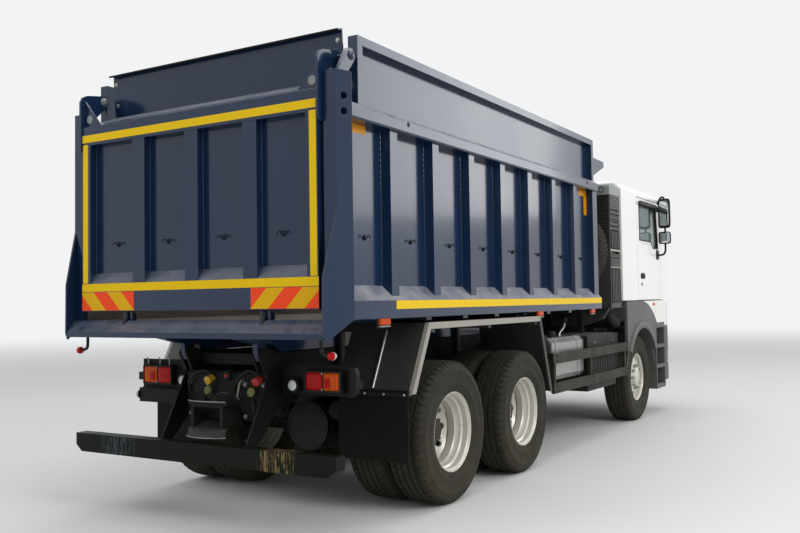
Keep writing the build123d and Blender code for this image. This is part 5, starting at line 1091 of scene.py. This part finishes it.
piece("fuel_lines", [pipe(path, 8, 8, 4) for path in fuel_paths], black_plastic)
duct_path = [(4150, -1105, 1432), (4150, -1120, 1320), (4240, -1130, 1255), (4400, -1130, 1235),
             (4560, -1000, 1225), (4660, -700, 1215), (4740, -420, 1205), (4800, -285, 1205)]
duct = pipe(duct_path, 56, 20, 3, 5.0, 24.0)
piece("air_duct", [duct], black_plastic, smooth=60)
clamps = [ring((4150, -1106, 1400), (0, 0.13, 1), 60, 4), ring((4772, -345, 1205), (0.4, 0.9, 0), 60, 4)]
piece("duct_clamps", clamps, galvanised)
print("faces of the duct:", len(duct[1]), "straps:", len(strap_rows))

# %% Boxes, silencer and rail bolts
cover = [pillow((3805, -890, 1121), AHEAD, LEFT, 500, 255, 14, 2, 14, 60)]
cover += [pillow((x, -1161, 1040), AHEAD, UP, 34, 14, 12, 2, 6) for x in (3500, 4120)]
piece("battery_cover", cover, grey_plastic)
ribs = boxes([(x, x + 14, -1165, -1159, 730, 1000) for x in range(3320, 4300, 62)])
piece("battery_box_ribs", [ribs], black_plastic, bevel=1.5)
outlet = pipe([(2660, 1000, 662), (2660, 1010, 600), (2640, 1080, 560), (2600, 1150, 545)], 52, 24, 3)
piece("tail_pipe", [outlet], dark_hub, slot="cast_metal")
shield = boxes([(2440, 2880, 1151, 1154, z, z + 34) for z in range(760, 1050, 56)])
piece("silencer_shield", [shield], aluminium, bevel=1)
tank_bands = [turned([(125, -22), (129, -22), (129, 22), (125, 22)], (x, 880, z), AHEAD, 48)
              for x in (3450, 4150) for z in (740, 1000)]
piece("air_tank_bands", tank_bands, galvanised)
RAIL_Y = 390
for name, s in SIDES:
    rail_at = [(x, s * RAIL_Y, z) for x in range(-1000, 4200, 260) for z in (860, 1040)]
    piece(f"rail_bolts_{name}", heads(rail_at, (0, s, 0), 17, 11), black_paint)
print("bolts in each frame rail:", len(rail_at))

# %% [markdown]
# ## Axle details
#
# Each driven axle has two spring brake chambers, a pair of U-bolts over each spring end and a bolted
# cover on its differential. They are cast, forged and pressed parts under thick black paint.

# %% Brakes, U-bolts, spring leaves
can = [(0, 0), (18, 0), (60, 6), (76, 20), (79, 64), (84, 70), (84, 84), (79, 90), (76, 150), (58, 172),
       (20, 178), (0, 178)]
dish = [(0, 26), (90, 24), (150, 12), (190, 2), (205, -6)]
circle = np.arange(12) * np.pi / 6
BRAKE_Y = 310
for axle, dish_back in (("rear", 200), ("middle", 205)):
    x = AXLES[axle]
    cans = [turned(can, (x - 70, s * BRAKE_Y, 640), (-0.96, 0, 0.28), 32) for _, s in SIDES]
    arms = rods([((x, s * BRAKE_Y, 600), (x - 75, s * BRAKE_Y, 641)) for _, s in SIDES], 20, 12)
    piece(f"{axle}_brake_cans", cans + arms, cast)
    ubolt = np.array([(x, 418, 470), (x, 418, 700), (x, 522, 700), (x, 522, 470)])
    ubolts = [pipe((ubolt + (dx, 0, 0)) * (1, s, 1), 9, 8, 2) for dx in (-74, 74) for _, s in SIDES]
    piece(f"{axle}_spring_bolts", ubolts, black_paint)
    cover = turned(dish, (x - dish_back, 0, TYRE_RADIUS), REAR, 40)
    rim_bolts = [(x - 152, 200 * np.cos(a), TYRE_RADIUS + 200 * np.sin(a)) for a in circle]
    piece(f"{axle}_housing_cover", [cover, *heads(rim_bolts, REAR, 15, 9)], cast)


def leaf(middle_x, y, reach, z, sag, thick=17.0, wide=45.0):
    """One leaf: a flat bar whose middle stands z + sag high and whose height falls as sag (x / 765)^2."""
    along = np.linspace(-1, 1, 25) * reach
    x, height = middle_x + along, z + sag - sag * (along / 765.0) ** 2
    corners = [(-wide, -thick / 2), (wide, -thick / 2), (wide, thick / 2), (-wide, thick / 2)]
    rings = np.stack([np.stack([x, np.full(25, y + a), height + b], -1) for a, b in corners], 1)
    first, last = [end.mean(1, keepdims=True).repeat(4, 1) for end in (rings[:1], rings[-1:])]
    return sheet_faces(np.concatenate([first, rings, last]), close_v=True)


for name, s in SIDES:
    rear_leaves = [leaf(AXLES["middle"] / 2, s * 470, 765 - 78 * k, 640 + 20 * k, 82) for k in range(8)]
    front_leaves = [leaf(AXLES["front"], s * 425, 790 - 120 * k, 668 - 19 * k, -130) for k in range(5)]
    piece(f"rear_leaves_{name}", rear_leaves, black_paint)
    piece(f"front_leaves_{name}", front_leaves, black_paint)
print("leaves on each side:", len(rear_leaves) + len(front_leaves))

# %% [markdown]
# ## The intake tower
#
# The tower is a moulded black box. Its side is divided into zones: fine level fins, short upright bars, a
# light band, more fins, and long upright bars at the foot. Behind the bars lies a near-black panel, painted
# shade for the depth of the slots. A grey cap with a rear inlet sits on top.

# %% Tower fins, bars and cap
TOWER_Y = -1235.0
fins = [(3922, 4273, TOWER_Y - 7, TOWER_Y + 2, z, z + 13)
        for z in [*range(2345, 2712, 27), *range(1908, 2052, 24)]]
bars = [(x, x + 30, TOWER_Y - 9, TOWER_Y + 2, z0, z1) for x in range(3950, 4240, 57)
        for z0, z1 in ((2112, 2304), (1486, 1864))]
# near-black panels behind the bars: painted shade for the depth of the slots
backs = [(3935, 4260, TOWER_Y - 2, TOWER_Y + 2, z0, z1) for z0, z1 in ((2102, 2316), (1478, 1874))]
bands = [(3914, 4281, TOWER_Y - 5, TOWER_Y + 2, z0, z1) for z0, z1 in ((2072, 2094), (1882, 1893))]
rear_fins = [(3903, 3911, -1222, -1003, z, z + 12) for z in range(2150, 2740, 30)]
piece("tower_fins", [boxes(fins + bars)], weathered_plastic, bevel=2.0)
piece("tower_slot_shade", [boxes(backs)], flap_rubber, slot="black_plastic", bevel=1.0)
piece("tower_bands", [boxes(bands)], edge_grey, bevel=2.0)
piece("tower_rear_fins", [boxes(rear_fins)], black_plastic, bevel=2.0)
cap_side = [(3892, 2722), (4301, 2722), (4301, 2816), (4290, 2824), (3972, 2850), (3905, 2838), (3892, 2820)]
piece("tower_cap", [plate(cap_side, -1244, -976, "Y")], cap_grey, bevel=12.0)
inlet = turned([(0, -1), (26, 0), (29, 3), (34, 3), (35, -3)], (3892, -1150, 2782), REAR, 32)
piece("tower_inlet", [inlet], black_plastic)
print("fins and bars:", len(fins) + len(bars))

# %% [markdown]
# ## Windscreen and wipers
#
# The screen and the rear window sit in black rubbers that lap the painted flange. Three wipers, each an
# arm and a blade, lie across the screen.

# %% Screen rubbers and wipers
SCREEN_SLOPE = 320.0 / 880.0
screen_x = lambda z: 6490.0 - (z - 1960.0) * SCREEN_SLOPE
screen_line = [(-1060, 2000), (1060, 2000), (1060, 2780), (-1060, 2780)]
screen_rubber = framed(screen_line, 26, lambda flat, level: np.c_[screen_x(flat[:, 1]) - 14 + 17 * level, flat])
back_line = [(-450, 2150), (450, 2150), (450, 2620), (-450, 2620)]
back_rubber = framed(back_line, 22, lambda flat, level: np.c_[np.full(4, 4345 - 18 * level), flat])
piece("screen_rubbers", [screen_rubber, back_rubber], black_plastic, "cab", bevel=4.0)
wipers = []
for foot in (-920, -300, 320):
    arm = [(screen_x(1985) + 6, foot, 1985), (screen_x(2010) + 22, foot + 30, 2012),
           (screen_x(2330) + 14, foot + 330, 2330)]
    blade = [(screen_x(z) + 6, foot + dy, z) for dy, z in ((40, 2050), (330, 2330), (560, 2560))]
    wipers += [pipe(arm, 8, 8, 2), pipe(blade, 7, 6, 2)]
piece("wipers", wipers, black_plastic, "cab")
print("wipers:", len(wipers) // 2)

# %% [markdown]
# ## Wheel arch and sill
#
# The wheel arch has a swept flare. The sill ahead of it is sprayed white along an arc, which is a paint
# line and not a seam, so it is a mask in the material.

# %% Arch flares and the sill's paint line


def swept(grid):
    """A grid of points[u, v] closed round v, with its two end faces as fans of their own points."""
    fan = list(range(grid.shape[1]))
    return [sheet_faces(grid, close_v=True), (grid[0], [fan]), (grid[-1], [fan[::-1]])]


def sill_white(material, centre, radius, lowest):
    """Paint line of the sill: white where the distance from the wheel's axis in (x, z) passes the radius,
    forward of that axis and above the lowest height. Metres."""
    tree, place, shader = parts(material)
    away = add(tree, "ShaderNodeVectorMath", {0: (place, "Object"), 1: centre}, operation="SUBTRACT")
    flat = add(tree, "ShaderNodeVectorMath", {0: (away, 0), 1: (1, 0, 1)}, operation="MULTIPLY")
    far = add(tree, "ShaderNodeVectorMath", {0: (flat, 0)}, operation="LENGTH")
    split = add(tree, "ShaderNodeSeparateXYZ", {"Vector": (away, 0)})
    out = add(tree, "ShaderNodeMath", {0: (far, "Value"), 1: radius}, operation="GREATER_THAN")
    ahead = add(tree, "ShaderNodeMath", {0: (split, "X"), 1: 0.05}, operation="GREATER_THAN")
    above = add(tree, "ShaderNodeMath", {0: (split, "Z"), 1: lowest - centre[2]}, operation="GREATER_THAN")
    both = add(tree, "ShaderNodeMath", {0: (out, 0), 1: (ahead, 0)}, operation="MULTIPLY")
    share = add(tree, "ShaderNodeMath", {0: (both, 0), 1: (above, 0)}, operation="MULTIPLY")
    lay_over(tree, shader, (share, 0), linear("#eae9e4"))


sill_white(flare_grey, (AXLE_X + AXLES["front"] / 1000, 0, TYRE_RADIUS / 1000), 0.95, 1.2)
arch = np.radians(np.linspace(31, 149, 60))[:, None]
section = np.array([(614, 1244), (610, 1252), (614, 1264), (640, 1271), (676, 1268), (690, 1260), (693, 1244)])
radius, out_y = section[:, 0], section[:, 1] + 0 * arch
flare_x, flare_z = AXLES["front"] + radius * np.cos(arch), TYRE_RADIUS + radius * np.sin(arch)
for name, s in SIDES:
    piece(f"arch_flare_{name}", swept(np.stack([flare_x, s * out_y, flare_z], -1)), flare_grey, smooth=50)
print("points along a flare:", len(arch))

# %% [markdown]
# ## Doors and mirrors
#
# Each door's pane sits in a black rubber under a rain hood. The handle is a black grip over a recess, with
# a round lock under it. The mirrors are deep moulded shells on bent tubes, with silvered glass that looks
# back.

# %% Door windows, handles and mirrors
pane = [(5050, 2250), (5050, 2730), (5850, 2730), (5925, 2310), (5925, 2170), (5670, 2170), (5580, 2250)]
hood_u = np.linspace(0, 1, 24)[:, None]
hood_row = np.array([(0, 2), (30, 10), (34, -34), (30, -36), (27, 6), (0, -2)])
hood_x, hood_y = 5040 + 880 * hood_u + 0 * hood_row[:, 0], 1246 + hood_row[:, 0] + 0 * hood_u
hood_z = 2742 - 70 * np.clip((hood_u - 0.8) / 0.2, 0, 1) ** 2 + hood_row[:, 1]
MIRROR_Y = 1356.5
mirror_rows = (
    # middle z, shell's half height, depth and power, glass's half height, depth and power
    (2647, (197, 50, 7), (180, 2, 9)),
    (2322, (82, 48, 6), (67, 6, 8)),
)
arm_rows = (
    # how often the corners are cut, path
    (3, [(5945, 1242, 2786), (5940, 1290, 2868), (5915, 1330, 2878), (5908, 1352, 2830)]),
    (3, [(5890, 1250, 2100), (5895, 1300, 2092), (5908, 1350, 2120), (5908, 1352, 2250)]),
    (0, [(5908, 1352, 2390), (5908, 1352, 2470)]),
)
for name, s in SIDES:
    door, out = f"{name}_door", (-s, 0, 0)
    rubber_line = framed(pane, -17,
                         lambda flat, level: np.c_[flat[:, 0], np.full(7, s * (1219 + 29 * level)), flat[:, 1]])
    piece(f"door_rubber_{name}", [rubber_line], black_plastic, door, bevel=3.0)
    piece(f"rain_hood_{name}", swept(np.stack([hood_x, s * hood_y, hood_z], -1)), black_plastic, door)
    grip = pillow((5180, s * 1248, 1806), out, UP, 78, 17, 20, 4, 4)
    bowl = pillow((5180, s * 1245, 1806), out, UP, 98, 38, 3, 3, 5)
    piece(f"door_handle_{name}", [grip, bowl], black_plastic, door)
    lock = turned([(0, 4), (10, 4), (12, 7), (20, 6), (24, 0), (24, -4)], (5126, s * 1246, 1700), (0, s, 0), 28)
    piece(f"door_lock_{name}", [lock], cap_grey, door, "bright_chrome")
    shells = [pillow((5866, s * MIRROR_Y, z), LEFT, UP, 80, half, depth, 15, power, 48)
              for z, (half, depth, power), _ in mirror_rows]
    shells += [pipe(np.array(path) * (1, s, 1), 13, 12, rounds) for rounds, path in arm_rows]
    shells.append(pillow((5885, s * 1246, 2100), out, UP, 62, 64, 13, 2, 8))
    piece(f"mirror_shell_{name}", shells, black_plastic, door, stands_for=[f"mirror_{name}"])
    glass = [pillow((5852, s * MIRROR_Y, z), RIGHT, UP, 66, half, depth, 1, power, 48)
             for z, _, (half, depth, power) in mirror_rows]
    piece(f"mirror_glass_{name}", glass, mirror_glass, door)
    piece(f"repeater_{name}", [pillow((5640, s * 1246, 1446), out, UP, 46, 17, 14, 2, 4)], amber_lens)
print("mirrors on each door:", len(mirror_rows))

# %% [markdown]
# ## Steps, corner panels and roof hatch
#
# The steps get chequer plate, whose studs are products of two sines. A bent panel closes the corner
# between the steps and the nose, and a hatch lies on the roof.

# %% Steps, corner panels, roof hatch
grid_x, grid_y = np.meshgrid(np.linspace(5752, 6120, 56), np.linspace(1018, 1238, 30), indexing="ij")
chequer = 4 * np.clip(np.sin(grid_x / 26 * 2 * np.pi) * np.sin(grid_y / 26 * 2 * np.pi), 0, 1) ** 0.6 + 3
chequer[[0, -1], :] = 0
chequer[:, [0, -1]] = 0
corner_line = [(6156, 1245), (6310, 1245), (6460, 1175), (6467, 1158), (6443, 1158), (6305, 1223), (6156, 1223)]
bead_line = [(6170, 1248), (6311, 1248), (6455, 1180), (6452, 1174), (6310, 1240), (6170, 1240)]
for name, s in SIDES:
    plates = [sheet_faces(np.stack([grid_x, s * grid_y, z + chequer], -1)) for z in (375, 640, 905)]
    piece(f"step_plates_{name}", plates, aluminium, smooth=60)
    corner = [plate(np.array(line) * (1, s), z0, z1, "Z")
              for line, z0, z1 in ((corner_line, 1152, 1480), (bead_line, 1176, 1192))]
    piece(f"corner_panel_{name}", corner, white, bevel=3.0)
piece("roof_hatch", [pillow((5150, 0, 2972), AHEAD, LEFT, 330, 300, 26, 8, 8, 48)], white, "cab")
print("steps on each side:", len(plates))

# %% [markdown]
# ## Headlamps
#
# Each headlamp is a deep black tray behind a clear curved cover that follows the bumper's plan. In it
# stand two bright reflector bowls with their bulbs, and an amber indicator at the outer end.

# %% Headlamp trays, bowls and covers
HEADLAMP_Z = 720
lamp_plan = np.array([(760, 6540), (985, 6540), (1175, 6460), (1245, 6310), (1245, 6280)], float)
toward = np.array([(0, -1), (-0.19, -0.98), (-0.66, -0.75), (-0.98, -0.2), (-1, 0)])
bowl_line = [(0, -46), (16, -45), (34, -36), (48, -20), (57, -2), (62, 0), (62, -4), (50, -24), (36, -40),
             (0, -50)]
bulb_line = [(0, 14), (9, 13), (14, 6), (15, 0), (15, -30), (0, -30)]
lamp_at = ((6532, 838), (6526, 985))


def wall(s, near, far):
    """An upright wall between two depths behind the lamp's outer line, seen from above."""
    flat = np.concatenate([lamp_plan + toward * near, (lamp_plan + toward * far)[::-1]])
    return plate(np.c_[flat[:, 1], s * flat[:, 0]], 643, 797, "Z")


for name, s in SIDES:
    piece(f"headlamp_tray_{name}", [wall(s, 36, 41)], black_plastic, stands_for=["headlamps"] if s > 0 else ())
    bowls = [turned(bowl_line, (x, s * y, HEADLAMP_Z), AHEAD, 44) for x, y in lamp_at]
    piece(f"headlamp_bowls_{name}", bowls, chrome)
    bulbs = [turned(bulb_line, (x - 27, s * y, HEADLAMP_Z), AHEAD, 20) for x, y in lamp_at]
    piece(f"headlamp_bulbs_{name}", bulbs, white_lens)
    amber = pillow((6425, s * 1150, HEADLAMP_Z), (-0.6 * s, 0.8, 0), UP, 52, 62, 12, 6, 7)
    piece(f"indicator_{name}", [amber], amber_lens)
    piece(f"headlamp_cover_{name}", [wall(s, 0, 4)], lamp_cover)
print("bowls in each headlamp:", len(bowls))

# %% [markdown]
# ## Seats
#
# Two sprung seats with padded cushions, backs and headrests stand on folded bellows. A cushion is a
# superellipsoid: a box whose faces bulge as the foam fills its cover, with a corded seam round its widest
# line.

# %% Seats


def unit(vector):
    """The vector divided by its length."""
    return np.asarray(vector, float) / np.linalg.norm(vector)


def cushion(centre, u, v, half, power=0.42, steps=40):
    """p = c + a C(t)C(w) u + b S(t)C(w) v + d S(w) n, where C and S are cos and sin raised to a power
    that keeps their sign: near 0 it is a box, at 1 an ellipsoid."""
    u, v = unit(u), unit(v)
    t = (np.arange(steps) / steps * 2 * np.pi)[:, None]
    w = np.linspace(-np.pi / 2, np.pi / 2, 21)[None, :]
    along = bend(np.cos(t), power) * bend(np.cos(w), power)
    side = bend(np.sin(t), power) * bend(np.cos(w), power)
    high = bend(np.sin(w), power) + 0 * t
    spot = [size * part[..., None] * axis for size, part, axis in
            zip(half, (along, side, high), (u, v, np.cross(u, v)))]
    return sheet_faces(np.asarray(centre, float) + sum(spot), close_u=True)


def seam(centre, u, v, half, power=0.42):
    """The cord along a cushion's widest line."""
    t = np.linspace(0, 2 * np.pi, 73)
    along, side = bend(np.cos(t), power)[:, None], bend(np.sin(t), power)[:, None]
    line = along * unit(u) * (half[0] + 1) + side * unit(v) * (half[1] + 1)
    return pipe(np.asarray(centre, float) + line, 4.5, 8, 0)


BACK_UP = np.array([-140.0, 0, 760.0]) / np.hypot(140, 760)
SEAT_X, SEAT_Y = 4880, 620
seat_rows = (
    # name, middle x and z, direction along it, half sizes
    ("seat_base", 4900, 1862, AHEAD, (256, 256, 60)),
    ("seat_back", 4634, 2165, BACK_UP, (292, 246, 58)),
    ("headrest", 4556, 2530, BACK_UP, (82, 130, 46)),
)
for name, s in SIDES:
    y = s * SEAT_Y
    for kind, x, z, along, half in seat_rows:
        shape = ((x, y, z), along, LEFT, half)
        pad = piece(f"{kind}_{name}", [cushion(*shape)], seat_cloth, "cab", smooth=80,
                    stands_for=["cab_interior"] if (kind, s) == ("seat_base", 1) else ())
        piece(f"{kind}_seam_{name}", [seam(*shape)], dash_vinyl, "cab", smooth=80)
    folds = [pillow((SEAT_X, y, z), AHEAD, LEFT, 122, 126, 12, 14, 6) for z in range(1600, 1800, 34)]
    base = pillow((SEAT_X, y, 1580), AHEAD, LEFT, 150, 140, 10, 25, 8)
    posts = rods([((4573, y + dy, 2440), (4558, y + dy, 2500)) for dy in (-60, 60)], 7, 10)
    piece(f"seat_stand_{name}", [*folds, base, *posts], black_plastic, "cab")
print("seats:", len(SIDES), "cushions on each:", len(seat_rows))

# %% [markdown]
# ## Dashboard, wheel and floor
#
# A vinyl dashboard has a hood over the dials. The steering wheel has three spokes, the gear lever stands
# in a folded boot, and a ribbed rubber mat covers the floor.

# %% Dashboard, steering wheel, lever and mat
dash_line = [(6200, 1556), (6418, 1556), (6418, 1880), (6100, 1955), (5985, 1925), (5962, 1895), (5962, 1790),
             (6160, 1700)]
hood_line = [(5985, 1915), (6120, 1945), (6110, 2010), (6020, 2030), (5975, 2000)]
vents = boxes([(5955, 5962, y, y + 130, z, z + 7)
               for y in (-1000, -200, 30, 900) for z in range(1808, 1880, 14)])
dash = [plate(dash_line, -1098, 1098, "Y"), plate(hood_line, 380, 860, "Y"), vents]
piece("dashboard", dash, dash_vinyl, "cab", bevel=10.0)
dial = [(0, 1), (40, 1), (46, 5), (52, 5), (54, 0)]
dials = [turned(dial, (5976, SEAT_Y + dy, 1962), (-1, 0, 0.25), 32) for dy in (-75, 75)]
piece("dials", dials, black_plastic, "cab")
WHEEL_AT, WHEEL_N = np.array([5740.0, SEAT_Y, 2010]), np.array([-0.6, 0, 0.8])
steering = [ring(WHEEL_AT, WHEEL_N, 215, 15, 64)]
for a in (0.25, np.pi - 0.25, 1.5 * np.pi):
    outward = np.array([0.8 * np.sin(a), np.cos(a), 0.6 * np.sin(a)])
    steering.append(pipe([WHEEL_AT - 18 * WHEEL_N, WHEEL_AT + 206 * outward], 12, 8, 1))
steering.append(turned([(0, 16), (40, 14), (62, 4), (66, -12), (40, -26), (0, -26)], WHEEL_AT, WHEEL_N, 32))
steering += rods([(WHEEL_AT - 20 * WHEEL_N, (6010, SEAT_Y, 1850))], 28, 20)
piece("steering_wheel", steering, dash_vinyl, "cab")
lever = [pipe([(5500, 120, 1560), (5490, 130, 1760), (5450, 150, 1880)], 10, 10),
         cushion((5448, 151, 1905), AHEAD, LEFT, (24, 24, 32), 0.9),
         turned([(0, 120), (20, 118), (45, 60), (52, 40), (70, 20), (74, 0)], (5500, 120, 1556), UP, 28)]
piece("gear_lever", lever, black_plastic, "cab")
mat_x, mat_y = np.meshgrid(np.linspace(4400, 6190, 80), np.linspace(-1120, 1120, 60), indexing="ij")
mat_z = 1560 + 1.5 * np.sign(np.sin(mat_x / 40))
mat_z[[0, -1], :] = 1555.5
mat_z[:, [0, -1]] = 1555.5
piece("floor_mat", [sheet_faces(np.stack([mat_x, mat_y, mat_z], -1))], flap_rubber, "cab")
print("parts of the steering wheel:", len(steering))

# %% [markdown]
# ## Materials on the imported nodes
#
# Shapes that are right as they stand keep their mesh and take the material of the real piece.

# %% Give the nodes their finish
finish = {
    body_navy: ["body_side_left", "body_side_right", "body_front", "body_floor"],
    navy: ["tailgate"],
    white: ["cab_shell", "door_left", "door_right"],
    window: ["cab_glass", "door_glass_left", "door_glass_right"],
    black_paint: ["frame_rails", "cross_members", "subframe", "hoist_cradle", "rear_axles", "front_axle",
                  "leaf_springs", "air_tanks", "spare_carrier", "cab_support", "hoist_barrel", "tail_lamps"],
    guard_green: ["side_guards"],
    bar_green: ["underrun_bar"],
    black_plastic: ["battery_box", "grille"],
    weathered_plastic: ["intake_tower", "rear_mudguards"],
    flare_grey: ["front_mudguards", "steps"],
    grey_plastic: ["bumper"],
    flap_rubber: ["mudflaps"],
    silver: ["spare_rim"],
    cast: ["powertrain", "knuckle_left", "knuckle_right"],
    aluminium: ["fuel_tank", "silencer"],
    chrome: ["hoist_stage_1", "hoist_stage_2", "hoist_stage_3"],
}
for material, names in finish.items():
    for name in names:
        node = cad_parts[name]
        node.data.materials.clear()
        node.data.materials.append(material)
        for polygon in node.data.polygons:
            polygon.material_index = 0
print("nodes finished:", sum(len(names) for names in finish.values()))

# %% [markdown]
# ## Floor, backdrop and lights
#
# The floor is plain and pale, and far off it fades into the backdrop's white. Large soft lamps stand
# round the truck, at a level at which paint shows as it is written.

# %% Floor and backdrop
FLOOR_REACH = 60.0


def seen_rays(tree):
    """1 for rays that come from the camera, straight or by way of a mirror or a pane."""
    path = add(tree, "ShaderNodeLightPath")
    seen = add(tree, "ShaderNodeMath", {0: (path, "Is Camera Ray"), 1: (path, "Is Glossy Ray")},
               operation="MAXIMUM")
    return add(tree, "ShaderNodeMath", {0: (seen, 0), 1: (path, "Is Transmission Ray")}, operation="MAXIMUM")


floor_corners = [(FLOOR_REACH * x, FLOOR_REACH * y, 0) for x, y in ((-1, -1), (1, -1), (1, 1), (-1, 1))]
floor_mesh = bpy.data.meshes.new("studio_floor")
floor_mesh.from_pydata(floor_corners, [], [(0, 1, 2, 3)])
floor = bpy.data.objects.new("studio_floor", floor_mesh)
bpy.context.scene.collection.objects.link(floor)
pale, tree, place, shader = blank("pale_studio_floor", {"Base Color": linear("#d9d8d5"), "Roughness": 0.9})
far = add(tree, "ShaderNodeVectorMath", {0: (place, "Object")}, operation="LENGTH")
fade = add(tree, "ShaderNodeMapRange", {"Value": (far, "Value"), "From Min": 6.0, "From Max": 40.0},
           interpolation_type="SMOOTHSTEP")
share = add(tree, "ShaderNodeMath", {0: (seen_rays(tree), 0), 1: (fade, 0)}, operation="MULTIPLY")
backdrop = add(tree, "ShaderNodeEmission", {"Color": linear("#f2f3f4"), "Strength": 1.0})
both = add(tree, "ShaderNodeMixShader", {0: (share, 0), 1: (shader, 0), 2: (backdrop, 0)})
sheet_end = next(n for n in tree.nodes if n.type == "OUTPUT_MATERIAL")
tree.links.new(both.outputs[0], sheet_end.inputs["Surface"])
floor_mesh.materials.append(pale)

world = bpy.data.worlds.new("studio_world")
bpy.context.scene.world = world
world.use_nodes = True
tree = world.node_tree
tree.nodes.clear()
sky = add(tree, "ShaderNodeBackground", {"Color": linear("#f2f3f4"), "Strength": 1.0})
fill = add(tree, "ShaderNodeBackground", {"Color": linear("#e9edf2"), "Strength": 0.62})
both = add(tree, "ShaderNodeMixShader", {0: (seen_rays(tree), 0), 1: (fill, 0), 2: (sky, 0)})
add(tree, "ShaderNodeOutputWorld", {"Surface": (both, 0)})
print("floor from side to side, m:", 2 * FLOOR_REACH)

# %% Soft lamps
LOOK_AT = Vector((0, 0, 1.2))
lamp_rows = (
    # name, place in metres, size in metres, power in watts
    ("key", (-5.0, -12.0, 8.6), 7.0, 800.0),
    ("sky", (-11.0, 6.0, 10.0), 6.0, 400.0),
    ("front", (12.5, -9.5, 7.2), 7.0, 460.0),
    ("top", (0.0, 0.0, 11.0), 9.0, 560.0),
)
for name, where, size, power in lamp_rows:
    lamp = bpy.data.lights.new(f"softbox_{name}", "AREA")
    lamp.shape = "SQUARE"
    lamp.size = size
    lamp.energy = power
    holder = bpy.data.objects.new(f"softbox_{name}", lamp)
    holder.location = where
    holder.rotation_euler = (LOOK_AT - Vector(where)).to_track_quat("-Z", "Y").to_euler()
    bpy.context.scene.collection.objects.link(holder)
print("lamps:", len(lamp_rows), "watts in all:", sum(row[3] for row in lamp_rows))

# %% [markdown]
# ## Camera
#
# The camera stands where the photo was taken from: behind, to the right, at eye height. Its angles and
# its focal length in pixels were solved from the wheels' ellipses and the lines of the body.

# %% Camera
IMAGE_WIDTH, SENSOR_WIDTH = 800.0, 36.0
FOCAL_PX = 876.47
CAMERA_AT = (-5919.9, -4372.3, 1532.1)
yaw, pitch, roll = np.radians([31.222, 2.264, -0.852])
ahead = np.array([np.cos(yaw) * np.cos(pitch), np.sin(yaw) * np.cos(pitch), np.sin(pitch)])
right = np.array([np.sin(yaw), -np.cos(yaw), 0.0])
up = np.cross(right, ahead)
right, up = right * np.cos(roll) + up * np.sin(roll), up * np.cos(roll) - right * np.sin(roll)
camera = bpy.data.cameras.new("photographer")
camera.sensor_width = SENSOR_WIDTH
camera.lens = FOCAL_PX * SENSOR_WIDTH / IMAGE_WIDTH
camera.clip_end = 300.0
stand = bpy.data.objects.new("photographer", camera)
turn = Matrix((right, up, -ahead)).transposed().to_4x4()
turn.translation = Vector([c / 1000 for c in CAMERA_AT]) + Vector((AXLE_X, 0, 0))
stand.matrix_world = turn
bpy.context.scene.collection.objects.link(stand)
bpy.context.scene.camera = stand
bpy.context.scene.view_settings.view_transform = "Standard"
print("lens, mm:", round(camera.lens, 2))
